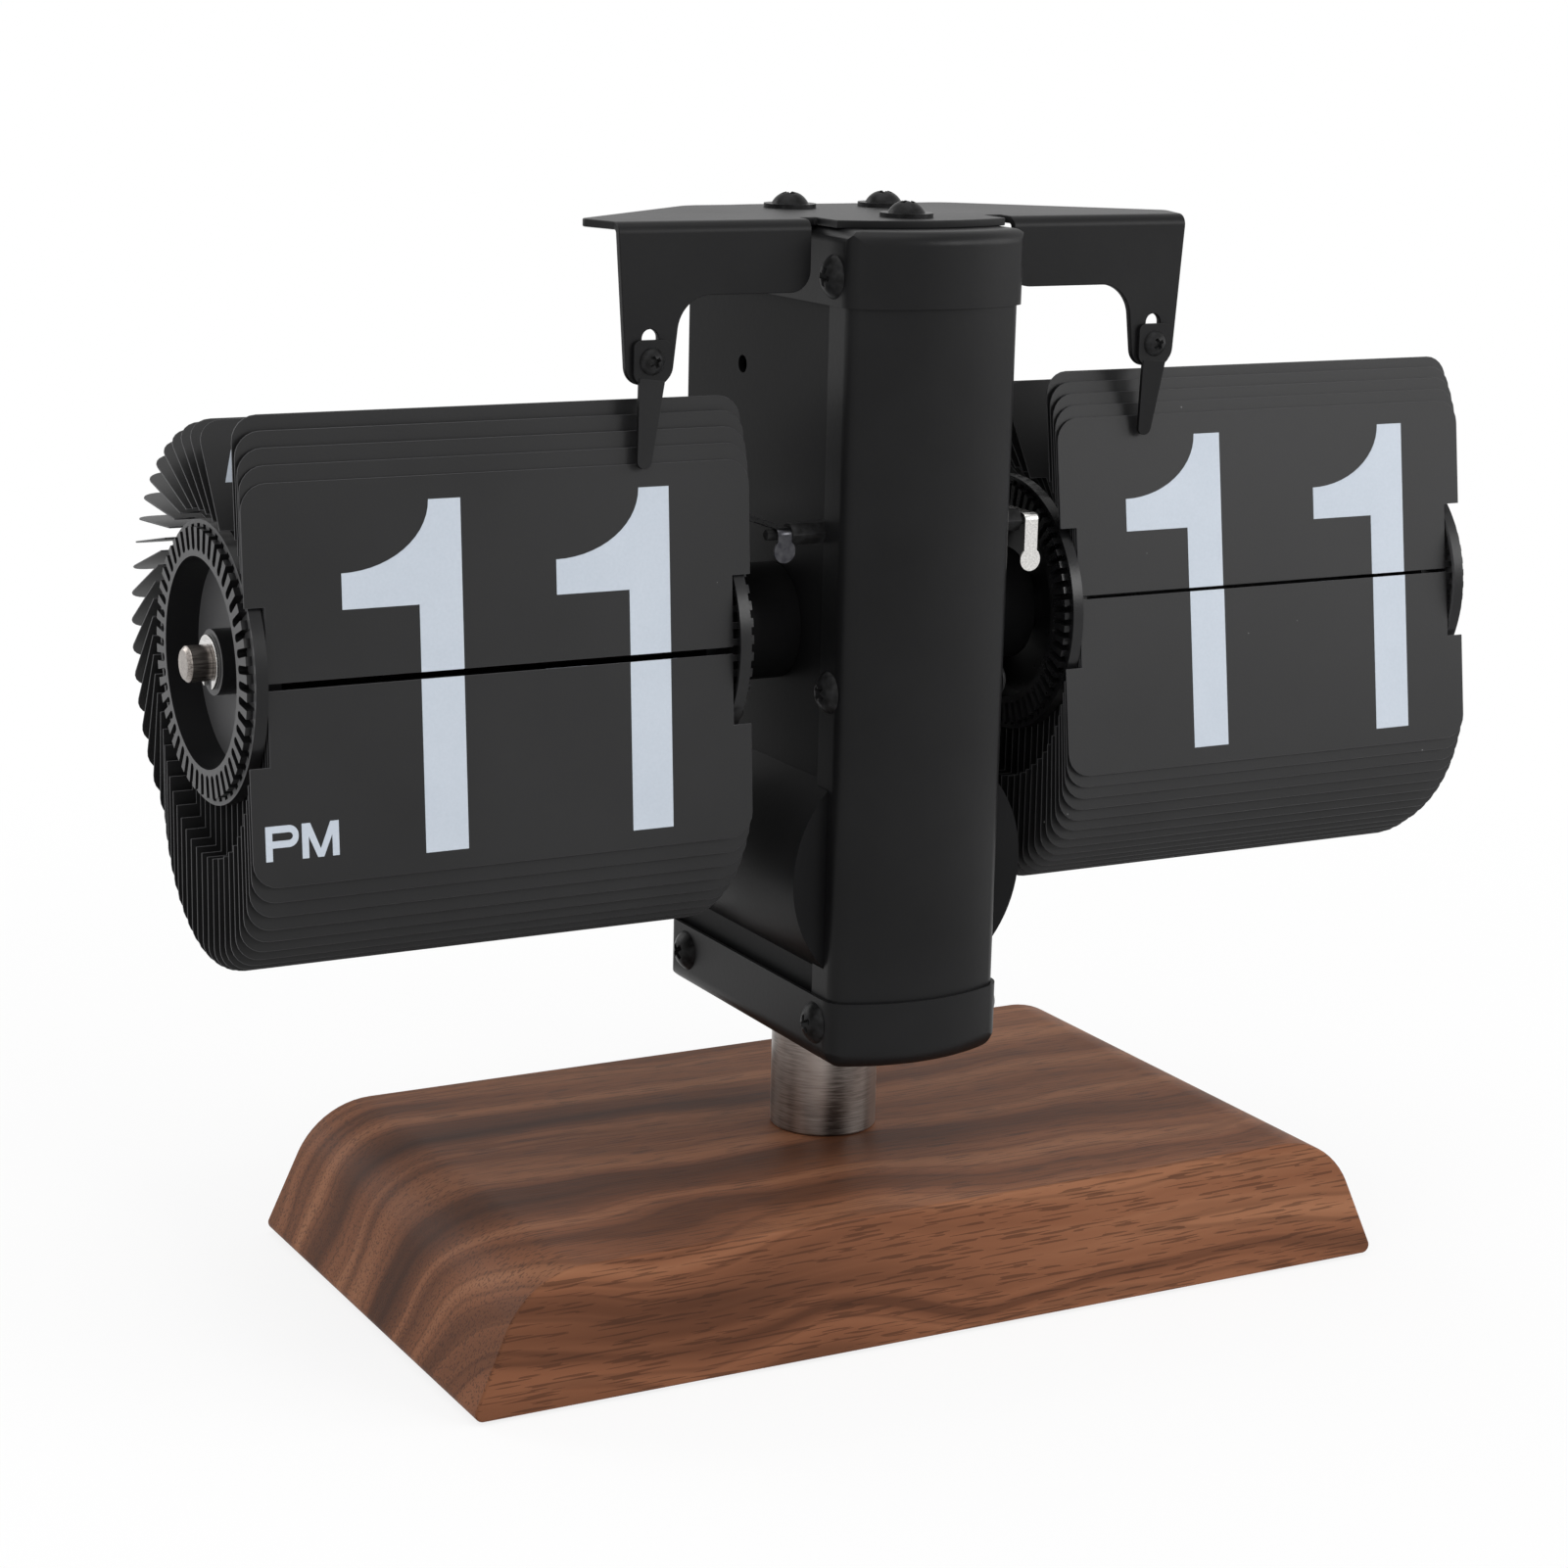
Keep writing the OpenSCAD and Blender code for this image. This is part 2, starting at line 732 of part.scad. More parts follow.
// Finger on the front of a leg: tab, lug in the slot, and a tongue that ends at tip_z and tip_y
module finger(tip_z, tip_y, tilt) {
    face = fold_front - running_gap - finger_sheet;
    tongue_start = finger_tab_low + finger_sheet;
    drop = tongue_start - tip_z;
    set_back = atan((tip_y - face) / drop);
    length = drop / cos(tilt) / cos(set_back);
    tip_radius = tongue_tip / 2;
    difference() {
        union() {
            upright(face, finger_sheet)
                rounded([[finger_x - finger_tab[0] / 2, finger_tab_low],
                    [finger_x + finger_tab[0] / 2, finger_tab_low],
                    [finger_x + finger_tab[0] / 2, finger_tab_low + finger_tab[1]],
                    [finger_x - finger_tab[0] / 2, finger_tab_low + finger_tab[1]]], [1.6, 1.6, 1, 1]);
            translate([finger_x, face + finger_sheet - tongue_relief, tongue_start])
                rotate([set_back, tilt, 0])
                rotate([90, 0, 0]) linear_extrude(finger_sheet) {
                polygon([[-tongue_top / 2, 0], [-tip_radius, tip_radius - length],
                    [tip_radius, tip_radius - length], [tongue_top / 2, 0]]);
                translate([0, tip_radius - length]) circle(tip_radius);
            }
            upright(face, finger_sheet + finger_lug[1])
                translate([finger_x - finger_lug[0] / 2, finger_tab_low + finger_tab[1] - finger_lug[0]])
                square([finger_lug[0], finger_lug[0] - 0.2]);
        }
        upright(face - over, finger_sheet + 2 * over)
            translate([finger_x, finger_screw_z]) circle(finger_screw_radius + press_gap);
    }
}

// Front of the leading flap of a pack at height z, less the flap and a free gap
function finger_plane(pack, z) =
    let (pivot = flap_pivot(pack, 0))
    pivot[0] + (z - pivot[1]) * tan(pack[2]) - flap_thickness - free_gap - finger_sheet;

module hour_finger() {
    color("#35363a") on_side(-1)
        finger(hour_tip_z, finger_plane(hour_pack, hour_tip_z), -hour_tongue_tilt);
}

module minute_finger() {
    color("#35363a") on_side(1)
        finger(minute_tip_z, finger_plane(minute_pack, minute_tip_z), -minute_tongue_tilt);
}

// Screw through a finger and the slot of its leg, with its nut behind the leg
module finger_screw() {
    seat = fold_front - running_gap - finger_sheet;
    nut_face = fold_front + bracket_sheet + running_gap;
    translate([finger_x, seat, finger_screw_z]) rotate([90, 0, 0])
        pan_screw(finger_screw_radius, finger_head_radius, finger_head_height,
            nut_face + finger_nut_height + 0.4 - seat);
    upright(nut_face, finger_nut_height) translate([finger_x, finger_screw_z]) circle(finger_nut_radius);
}

module hour_finger_screw() {
    color("silver") on_side(-1) finger_screw();
}

module minute_finger_screw() {
    color("silver") on_side(1) finger_screw();
}

// Click springs

module spring_posts() {
    color("#55565a") for (side = [-1, 1]) on_side(side) {
        across(cover_outer, post_end - cover_outer) translate([post_y, post_z]) hexagon(post_across);
        across(post_end, pin_end - post_end) translate([post_y, post_z]) circle(pin_radius);
    }
}

// Strip that lies on the pin of its post, with its front end bent down to a spoon-shaped tongue
module leaf_spring(tongue_drop) {
    lift = post_z + pin_radius + press_gap;
    bend = 1;
    front = post_y - 2;
    across(leaf_start, leaf_width) {
        translate([front + bend, lift]) square([leaf_length, leaf_sheet]);
        translate([front + bend, lift + leaf_sheet - bend]) intersection() {
            ring(bend, bend - leaf_sheet);
            translate([-bend, 0]) square(bend);
        }
        translate([front, lift + leaf_sheet - tongue_drop])
            square([leaf_sheet, tongue_drop - bend]);
    }
    upright(front, leaf_sheet) translate([leaf_start + leaf_width / 2, lift + leaf_sheet - tongue_drop])
        circle(spoon_radius);
}

module hour_leaf_spring() {
    color("silver") on_side(-1) leaf_spring(hour_tongue_drop);
}

module minute_leaf_spring() {
    color("silver") on_side(1) leaf_spring(minute_tongue_drop);
}

// Bearings of the shafts and of the change arbor

module boss() {
    across(cover_outer, boss_end - cover_outer) translate([axle_y, axle_z])
        ring(boss_radius, bushing_radius + press_gap);
}

module hour_boss() {
    color("#1d1e21") on_side(-1) boss();
}

module minute_boss() {
    color("#1d1e21") on_side(1) boss();
}

module bushing() {
    start = cover_inner - bushing_flange_thickness;
    across(start, boss_end - start) translate([axle_y, axle_z])
        ring(bushing_radius, shaft_radius + running_gap);
    across(start, bushing_flange_thickness) translate([axle_y, axle_z])
        ring(bushing_flange, shaft_radius + running_gap);
}

module hour_bushing() {
    color("goldenrod") on_side(-1) bushing();
}

module minute_bushing() {
    color("goldenrod") on_side(1) bushing();
}

module change_bushings() {
    start = cover_inner - arbor_bush_length;
    color("goldenrod") for (side = [-1, 1]) on_side(side)
        across(start, arbor_bush_length + arbor_bush_seat) translate([axle_y, arbor_z])
        ring(arbor_bush_radius, arbor_radius + running_gap);
}

// Motor and electronics

module drive_motor() {
    color("lightgray") difference() {
        across(motor_back, motor_face - motor_back) translate([motor_y, axle_z]) circle(motor_radius);
        across(motor_face - 3, 3 + over) translate([motor_y, axle_z])
            circle(motor_shaft_radius + running_gap);
        for (z = [-1, 1]) across(motor_face - 2, 2 + over)
            translate([motor_y, axle_z + z * motor_screw_offset]) circle(motor_hole);
    }
}

// Angle plate between the motor and the rear wall
module motor_bracket() {
    rear = housing_rear - rear_wall;
    color("silver") {
        across(motor_face, motor_plate) translate([0, axle_z]) difference() {
            translate([motor_y - motor_radius, -motor_radius])
                square([rear - motor_y + motor_radius, 2 * motor_radius]);
            translate([motor_y, 0]) circle(motor_shaft_radius + free_gap);
            for (z = [-1, 1]) translate([motor_y, z * motor_screw_offset]) circle(motor_hole);
        }
        upright(rear - motor_plate, motor_plate)
            translate([motor_face + motor_plate - motor_foot, axle_z - motor_radius])
            square([motor_foot, 2 * motor_radius]);
    }
}

module motor_screws() {
    seat = motor_face + motor_plate;
    color("silver") for (z = [-1, 1])
        translate([seat, motor_y, axle_z + z * motor_screw_offset]) rotate([0, 90, 0])
        pan_screw(0.7, 1.1, 0.35, 2);
}

module circuit_board() {
    rear = housing_rear - rear_wall;
    front = rear - board_thickness;
    color("darkgreen") upright(front, board_thickness)
        translate([-board_size[0] / 2, board_z]) square(board_size);
    color("#303030") upright(front - 1.5, 1.5) translate([-6, board_z + 4]) square([8, 6]);
    color("silver") upright(front - 2.4, 2.4) translate([5, board_z + 20]) circle(2.4);
}

// Flap packs

// Angle of flap k round the axle, from the front up and over to the back
function flap_place(pack, k) = pack[1] + k * 360 / pack[0];
// Flaps between flap k and the one that has fallen last
function flaps_behind(pack, k) = pack[0] - 1 - k;
// First flap of the hanging pack
function fan_end(pack) = ceil((180 + pack[3] - pack[1]) * pack[0] / 360);
// Direction of flap k from its ears, 0 straight up and 90 to the back
function flap_turn(pack, k) =
    k < upright_flaps ? pack[2] :
    k < fan_end(pack) ? flap_place(pack, k) - pack[3] :
    180 + pack[2] * max(0, 1 - flaps_behind(pack, k) / fading_flaps);
// Ears near the seam are pressed forward in their slots by the flaps behind them
function flap_push(pack, k) =
    k < upright_flaps ? upper_push * pow(upper_fade, k) : lower_push * pow(lower_fade, flaps_behind(pack, k));
function flap_pivot(pack, k) =
    let (place = flap_place(pack, k))
    [axle_y - ear_circle * cos(place) - flap_push(pack, k), axle_z + ear_circle * sin(place)];

// Outline of a flap: ears on the zero line, notches beside the wheels, rounded free corners
module flap_outline() {
    left = flap_inner + notch_width;
    right = flap_outer - notch_width;
    polygon(concat(
        [[left, -flap_lip], [right, -flap_lip], [right, -ear_half], [right + ear_length, -ear_half],
        [right + ear_length, ear_half], [right, ear_half], [right, notch_length], [flap_outer, notch_length]],
        arc([flap_outer - flap_corner, flap_length - flap_corner], flap_corner, 0, 90, arc_steps),
        arc([flap_inner + flap_corner, flap_length - flap_corner], flap_corner, 90, 180, arc_steps),
        [[flap_inner, notch_length], [left, notch_length], [left, ear_half], [left - ear_length, ear_half],
        [left - ear_length, -ear_half], [left, -ear_half]]));
}

module flap(pack, k) {
    pivot = flap_pivot(pack, k);
    translate([0, pivot[0], pivot[1]]) rotate([90 - flap_turn(pack, k), 0, 0])
        translate([0, 0, -flap_thickness / 2]) linear_extrude(flap_thickness) flap_outline();
}

module flaps(side, pack, from, to) {
    color("#17181b") on_side(side) for (k = [from : to]) flap(pack, k);
}

module hour_flaps_upright() { flaps(-1, hour_pack, 0, upright_flaps - 1); }
module hour_flaps_fan() { flaps(-1, hour_pack, upright_flaps, fan_end(hour_pack) - 1); }
module hour_flaps_hanging() { flaps(-1, hour_pack, fan_end(hour_pack), hour_flap_count - 2); }
module hour_front_flap() { flaps(-1, hour_pack, hour_flap_count - 1, hour_flap_count - 1); }
module minute_flaps_upright() { flaps(1, minute_pack, 0, upright_flaps - 1); }
module minute_flaps_fan() { flaps(1, minute_pack, upright_flaps, fan_end(minute_pack) - 1); }
module minute_flaps_hanging() { flaps(1, minute_pack, fan_end(minute_pack), minute_flap_count - 2); }
module minute_front_flap() { flaps(1, minute_pack, minute_flap_count - 1, minute_flap_count - 1); }

// Slotted wheels and drum shafts

// Plan of the slotted face: slots with round roots run out to the given radius
module slotted_face(outer, slot_end, slots) {
    width = slot_share * 2 * PI * slot_root / slots;
    difference() {
        ring(outer, dish_radius);
        for (i = [0 : slots - 1]) rotate(i * 360 / slots) {
            translate([slot_root + width / 2, 0]) circle(width / 2, $fn = 16);
            translate([slot_root + width / 2, -width / 2]) square([slot_end - slot_root - width / 2, width]);
        }
    }
}

// Wheel with its slotted face at x = 0 and its dish sinking towards -X, turned about the X axis
module wheel(slots) {
    flange_back = wheel_groove - wheel_thickness;
    across(-wheel_face_step, wheel_face_step) slotted_face(ring_radius, ring_radius + over, slots);
    across(flange_back, -wheel_face_step - flange_back) slotted_face(flange_rim, groove_outer, slots);
    across(-wheel_thickness, wheel_groove) {
        ring(flange_rim, groove_outer);
        ring(groove_inner, dish_radius);
    }
    across(-web_depth, web_depth - wheel_thickness) ring(dish_radius + dish_wall, dish_radius);
    across(-web_depth, dish_web) ring(dish_radius, shaft_bore);
    across(-web_depth, web_depth - hub_recess) ring(hub_radius, shaft_bore);
}

// Outer wheel faces outwards, the inner wheel faces the housing
module outer_wheel(slots) {
    translate([outer_face, axle_y, axle_z]) wheel(slots);
}

module inner_wheel(slots) {
    translate([inner_face, axle_y, axle_z]) mirror([1, 0, 0]) wheel(slots);
}

module sleeve() {
    start = inner_face + web_depth;
    across(start, outer_face - web_depth - start) translate([axle_y, axle_z]) ring(sleeve_radius, shaft_bore);
}

// Shaft with a thinner inner end, a neck for its clip and a chamfered tip
module drum_shaft(start, shoulder) {
    translate([0, axle_y, axle_z]) {
        across(start, shoulder - start) circle(pinion_bore - press_gap);
        across(shoulder, clip_place - shoulder) circle(shaft_radius);
        across(clip_place, clip_thickness) circle(clip_neck);
        across(clip_place + clip_thickness, shaft_end - shaft_tip - clip_place - clip_thickness)
            circle(shaft_radius);
        translate([shaft_end - shaft_tip, 0, 0]) rotate([0, 90, 0])
            cylinder(r1 = shaft_radius, r2 = shaft_radius - shaft_tip, h = shaft_tip);
    }
}

// Open spring clip in the neck of the shaft
module shaft_clip() {
    across(clip_place, clip_thickness) translate([axle_y, axle_z]) difference() {
        circle(clip_radius);
        circle(clip_neck + press_gap);
        translate([-clip_neck * 0.8, -clip_radius - over]) square([clip_neck * 1.6, clip_radius + over]);
    }
}

module hour_shaft() {
    color("silver") on_side(-1) drum_shaft(-hour_shaft_start, -hour_shaft_start + shaft_step);
}

module minute_shaft() {
    shoulder = minute_pinion_x + minute_pinion_width + shaft_step;
    color("silver") on_side(1) drum_shaft(minute_shaft_start, shoulder);
}

module hour_inner_wheel() {
    color("#101113") on_side(-1) inner_wheel(hour_flap_count);
}

module hour_outer_wheel() {
    color("#101113") on_side(-1) outer_wheel(hour_flap_count);
}

module minute_inner_wheel() {
    color("#101113") on_side(1) inner_wheel(minute_flap_count);
}

module minute_outer_wheel() {
    color("#101113") on_side(1) outer_wheel(minute_flap_count);
}

module hour_sleeve() {
    color("#101113") on_side(-1) sleeve();
}

module minute_sleeve() {
    color("#101113") on_side(1) sleeve();
}

module hour_clip() {
    color("silver") on_side(-1) shaft_clip();
}

module minute_clip() {
    color("silver") on_side(1) shaft_clip();
}

// Gear train: motor to minute shaft, minute shaft to change arbor, change arbor to hour shaft

module hour_gear() {
    color("ivory") {
        gear(hour_gear_x, gear_width, hour_teeth, hour_module, 90, shaft_bore, axle_y, axle_z);
        across(hour_gear_x - gear_hub_length, gear_hub_length) translate([axle_y, axle_z])
            ring(gear_hub, shaft_bore);
    }
}

module minute_gear() {
    color("ivory") {
        gear(minute_gear_x, gear_width, wheel_teeth, wheel_module, 0, shaft_bore, axle_y, axle_z);
        across(minute_gear_x + gear_width, gear_hub_length) translate([axle_y, axle_z])
            ring(gear_hub, shaft_bore);
    }
}

module minute_pinion() {
    color("ivory") gear(minute_pinion_x, minute_pinion_width, pinion_teeth, wheel_module, 0,
        pinion_bore, axle_y, axle_z);
}

module change_wheel() {
    color("ivory") gear(change_wheel_x, gear_width, wheel_teeth, wheel_module, 180 / wheel_teeth,
        arbor_radius + press_gap, axle_y, arbor_z);
}

module change_pinion() {
    color("goldenrod") gear(change_pinion_x, change_pinion_width, change_teeth, hour_module, 0,
        arbor_radius + press_gap, axle_y, arbor_z);
}

module change_arbor() {
    half = cover_inner + arbor_bush_seat - 0.1;
    color("silver") across(-half, 2 * half) translate([axle_y, arbor_z]) circle(arbor_radius);
}

module motor_shaft() {
    color("silver") across(motor_face - 2.5, motor_pinion_x + motor_pinion_width + 0.4 - motor_face + 2.5)
        translate([motor_y, axle_z]) circle(motor_shaft_radius);
}

module motor_pinion() {
    color("goldenrod") gear(motor_pinion_x, motor_pinion_width, pinion_teeth, wheel_module,
        180 / pinion_teeth, motor_shaft_radius + press_gap, motor_y, axle_z);
}

walnut_base();
base_pad();
pillar_tube();
pillar_bolt();
pillar_nut();
bottom_cap();
front_column();
left_side_cover();
right_side_cover();
rear_cover();
top_cap();
side_screws();
battery_cell();
front_contact();
battery_cap();
battery_spring();
top_bracket();
bracket_screws();
hour_finger();
hour_finger_screw();
minute_finger();
minute_finger_screw();
spring_posts();
hour_leaf_spring();
minute_leaf_spring();
hour_boss();
minute_boss();
hour_bushing();
minute_bushing();
change_bushings();
drive_motor();
motor_bracket();
motor_screws();
circuit_board();
hour_flaps_upright();
hour_flaps_fan();
hour_flaps_hanging();
hour_front_flap();
minute_flaps_upright();
minute_flaps_fan();
minute_flaps_hanging();
minute_front_flap();
hour_shaft();
hour_gear();
hour_inner_wheel();
hour_outer_wheel();
hour_sleeve();
hour_clip();
minute_shaft();
minute_gear();
minute_pinion();
minute_inner_wheel();
minute_outer_wheel();
minute_sleeve();
minute_clip();
change_arbor();
change_wheel();
change_pinion();
motor_shaft();
motor_pinion();
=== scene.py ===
import json
from math import cos, pi, radians, sin

import bpy
from mathutils import Matrix, Vector

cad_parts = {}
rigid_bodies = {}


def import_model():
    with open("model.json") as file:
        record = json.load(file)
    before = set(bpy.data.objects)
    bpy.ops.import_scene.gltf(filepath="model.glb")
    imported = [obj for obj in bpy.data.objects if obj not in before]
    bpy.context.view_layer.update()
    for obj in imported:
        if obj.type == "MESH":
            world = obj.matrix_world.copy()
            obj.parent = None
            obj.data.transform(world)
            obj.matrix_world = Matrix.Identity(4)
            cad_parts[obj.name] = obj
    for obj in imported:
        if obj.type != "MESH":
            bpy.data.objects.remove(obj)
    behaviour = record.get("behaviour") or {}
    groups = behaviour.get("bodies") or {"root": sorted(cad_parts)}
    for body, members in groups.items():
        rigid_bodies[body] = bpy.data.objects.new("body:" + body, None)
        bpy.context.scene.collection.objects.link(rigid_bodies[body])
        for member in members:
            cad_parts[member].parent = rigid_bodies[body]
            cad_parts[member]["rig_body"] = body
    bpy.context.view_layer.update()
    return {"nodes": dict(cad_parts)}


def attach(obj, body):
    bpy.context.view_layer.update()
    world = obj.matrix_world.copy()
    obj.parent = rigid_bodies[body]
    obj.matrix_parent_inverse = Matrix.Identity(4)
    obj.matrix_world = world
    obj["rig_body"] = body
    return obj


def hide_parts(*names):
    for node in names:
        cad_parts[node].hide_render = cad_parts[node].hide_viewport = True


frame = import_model()
bpy.ops.object.select_all(action="DESELECT")

# Studio
# A white sweep under a wide soft overhead light, with a window-like light from the left, one
# from the right, a low one at the front right and a weak one behind. The camera stands in front,
# to the left.
MM = 0.001
CAMERA_PLACE = Vector((-246.95, -435.77, 192.64)) * MM
CAMERA_YAW = radians(-28.723)
CAMERA_DOWN = radians(13.392)
CAMERA_ROLL = radians(1.367)
CAMERA_LENS = 78.4
CAMERA_SENSOR = 36
CAMERA_NEAR = 0.01
AIM = Vector((0, 0, 90)) * MM
AMBIENT = 0.42
FLOOR_GLOW = 0.82
FLOOR_FADE_START = 0.10
FLOOR_FADE_END = 0.36
FLOOR_SIZE = 6
FLOOR_WHITE = (0.9, 0.9, 0.9, 1)
FLOOR_ROUGHNESS = 0.9
FULL_WHITE = (1, 1, 1, 1)


class Shade:
    """One output of a material's nodes; arithmetic on it adds Math nodes."""

    def __init__(self, tree, socket):
        self.tree = tree
        self.socket = socket

    def node(self, kind, settings, values, out=0):
        """Adds a node: its settings first, then the values or links of its sockets."""
        made = self.tree.nodes.new(kind)
        for name, setting in settings.items():
            if name == "stops":
                stops = made.color_ramp.elements
                stops.remove(stops[1])
                stops[0].position = setting[0][0]
                stops[0].color = (*setting[0][1], 1)
                for at, colour in setting[1:]:
                    stops.new(at).color = (*colour, 1)
            else:
                setattr(made, name, setting)
        for name, value in values.items():
            if isinstance(value, Shade):
                self.tree.links.new(value.socket, made.inputs[name])
            else:
                made.inputs[name].default_value = value
        return Shade(self.tree, made.outputs[out])

    def beside(self, out):
        """Another output of the same node."""
        return Shade(self.tree, self.socket.node.outputs[out])

    def math(self, operation, *operands):
        return self.node("ShaderNodeMath", {"operation": operation}, dict(enumerate(operands)))

    def __add__(self, other):
        return self.math("ADD", self, other)

    def __radd__(self, other):
        return self.math("ADD", other, self)

    def __sub__(self, other):
        return self.math("SUBTRACT", self, other)

    def __rsub__(self, other):
        return self.math("SUBTRACT", other, self)

    def __mul__(self, other):
        return self.math("MULTIPLY", self, other)

    def __rmul__(self, other):
        return self.math("MULTIPLY", other, self)

    def __pow__(self, other):
        return self.math("POWER", self, other)

    def __gt__(self, other):
        return self.math("GREATER_THAN", self, other)

    def __lt__(self, other):
        return self.math("LESS_THAN", self, other)

    def feed(self, node, socket):
        """Links this output to an input of a node that is already there."""
        self.tree.links.new(self.socket, node.inputs[socket])


def seen_directly(tree):
    """1 for rays that show the white surroundings: from the camera, in a gloss or through glass."""
    path = Shade(tree, tree.nodes.new("ShaderNodeLightPath").outputs["Is Camera Ray"])
    glossy = path.math("MAXIMUM", path, path.beside("Is Glossy Ray"))
    return path.math("MAXIMUM", glossy, path.beside("Is Transmission Ray"))


level = Vector((cos(CAMERA_YAW), sin(CAMERA_YAW), 0))
ahead = Vector((-sin(CAMERA_YAW) * cos(CAMERA_DOWN), cos(CAMERA_YAW) * cos(CAMERA_DOWN), -sin(CAMERA_DOWN)))
above = level.cross(ahead)
right = level * cos(CAMERA_ROLL) + above * sin(CAMERA_ROLL)
up = above * cos(CAMERA_ROLL) - level * sin(CAMERA_ROLL)
camera_data = bpy.data.cameras.new("camera")
camera_data.sensor_width = CAMERA_SENSOR
camera_data.lens = CAMERA_LENS
camera_data.clip_start = CAMERA_NEAR
camera = bpy.data.objects.new("camera", camera_data)
bpy.context.collection.objects.link(camera)
camera.matrix_world = Matrix.Translation(CAMERA_PLACE) @ Matrix((right, up, -ahead)).transposed().to_4x4()
bpy.context.scene.camera = camera
bpy.context.scene.view_settings.view_transform = "Standard"

world = bpy.data.worlds.new("studio_white")
world.use_nodes = True
bpy.context.scene.world = world
sky = world.node_tree.nodes["Background"]
sky.inputs["Color"].default_value = FULL_WHITE
(AMBIENT + seen_directly(world.node_tree) * (1 - AMBIENT)).feed(sky, "Strength")

for lamp_name, lamp_place, lamp_size, lamp_power in [
        ("overhead_light", (-0.15, -0.1, 1.25), 1.1, 6.0),
        ("left_light", (-1.0, -0.85, 0.75), 0.8, 4.2),
        ("right_light", (1.05, -0.55, 0.45), 0.6, 4.6),
        ("front_right_light", (0.72, -1.10, 0.56), 0.45, 6.0),
        ("rear_light", (-0.75, 1.10, 0.65), 0.7, 4.5)]:
    lamp_data = bpy.data.lights.new(lamp_name, "AREA")
    lamp_data.size = lamp_size
    lamp_data.energy = lamp_power
    lamp = bpy.data.objects.new(lamp_name, lamp_data)
    bpy.context.collection.objects.link(lamp)
    lamp.location = lamp_place
    lamp.rotation_euler = (AIM - lamp.location).to_track_quat("-Z", "Y").to_euler()

bpy.ops.mesh.primitive_plane_add(size=FLOOR_SIZE)
floor = bpy.context.object
floor.name = "floor"
floor_white = bpy.data.materials.new("floor_white")
floor_white.use_nodes = True
floor_tree = floor_white.node_tree
floor_shader = floor_tree.nodes["Principled BSDF"]
floor_shader.inputs["Base Color"].default_value = FLOOR_WHITE
floor_shader.inputs["Roughness"].default_value = FLOOR_ROUGHNESS
floor_seen = seen_directly(floor_tree)
floor_lit = Shade(floor_tree, floor_shader.outputs[0])
floor_glow = floor_seen.node("ShaderNodeEmission", {}, {"Color": FULL_WHITE})
floor_place = Shade(floor_tree, floor_tree.nodes.new("ShaderNodeTexCoord").outputs["Object"])
floor_distance = floor_place.node("ShaderNodeVectorMath", {"operation": "LENGTH"}, {0: floor_place},
                                  out="Value")
floor_fade = floor_distance.node("ShaderNodeMapRange", {}, {
    "Value": floor_distance, "From Min": FLOOR_FADE_START, "From Max": FLOOR_FADE_END})
floor_white_share = floor_seen * (FLOOR_GLOW + floor_fade * (1 - FLOOR_GLOW))
floor_mix = floor_seen.node("ShaderNodeMixShader", {}, {0: floor_white_share, 1: floor_lit, 2: floor_glow})
floor_mix.feed(floor_tree.nodes["Material Output"], "Surface")
floor.data.materials.append(floor_white)

# Walnut base
# A solid block of oiled walnut with sloping ends and softly rounded shoulders. The grain runs
# along its length; growth rings curve round a heart that lies below the block's front edge.
WALNUT_EDGE = 0.7
WALNUT_EDGE_STEPS = 3
HEART = Vector((0, -50, -10)) * MM
STREAK_WIDTH = 8.5
STREAK_LENGTH = 260
WAVE_LENGTH = 62
WAVE_HEIGHT = 9
RIPPLE_LENGTH = 18
RIPPLE_HEIGHT = 0.6
RING_LINES = (0.43, 0.55)
RING_LINE_SHARPNESS = 3000
RING_LINE_SHARE = 0.28
ZONE_WIDTH = 34
STREAK_SHARE = 0.60
LINE_SHARE = 0.13
ZONE_SHARE = 0.27
PORE_WIDTH = 0.35
PORE_LENGTH = 7
PORE_LEVEL = 0.41
PORE_SHARE = 0.5
PORE_DEPTH = 0.05
WALNUT_DARK = (0.032, 0.0135, 0.008)
WALNUT_BROWN = (0.098, 0.038, 0.019)
WALNUT_MID = (0.185, 0.074, 0.037)
WALNUT_PALE = (0.29, 0.130, 0.068)
MERGE_GAP = 0.0005
FLAT_ANGLE = radians(0.4)
SHARP_ANGLE = radians(30)
SMOOTH_ANGLE = radians(38)


def start_finish(name, constants):
    """A new material with its even values set, its shader, and the place on the piece in metres."""
    material = bpy.data.materials.new(name)
    material.use_nodes = True
    tree = material.node_tree
    shader = tree.nodes["Principled BSDF"]
    for socket, value in constants.items():
        shader.inputs[socket].default_value = value
    return material, shader, Shade(tree, tree.nodes.new("ShaderNodeTexCoord").outputs["Object"])


def noise(place, size, detail=2.0, roughness=0.5, stretch=(1, 1, 1)):
    """Soft noise from 0 to 1 whose lumps measure about size millimetres, longer where stretched."""
    scale = tuple(1 / (size * MM * along) for along in stretch)
    mapped = place.node("ShaderNodeMapping", {"vector_type": "POINT"}, {"Vector": place, "Scale": scale})
    return mapped.node("ShaderNodeTexNoise", {}, {"Vector": mapped, "Scale": 1.0, "Detail": detail,
                                                  "Roughness": roughness}, out="Fac")


def colours(factor, *stops):
    """A colour that runs through the given (place, colour) stops."""
    return factor.node("ShaderNodeValToRGB", {"stops": stops}, {"Fac": factor}, out="Color")


def mixed(factor, first, second):
    """Two colours mixed by a factor; a plain colour is given as three numbers."""
    sides = [side if isinstance(side, Shade) else (*side, 1) for side in (first, second)]
    return factor.node("ShaderNodeMix", {"data_type": "RGBA"}, {0: factor, 6: sides[0], 7: sides[1]}, out=2)


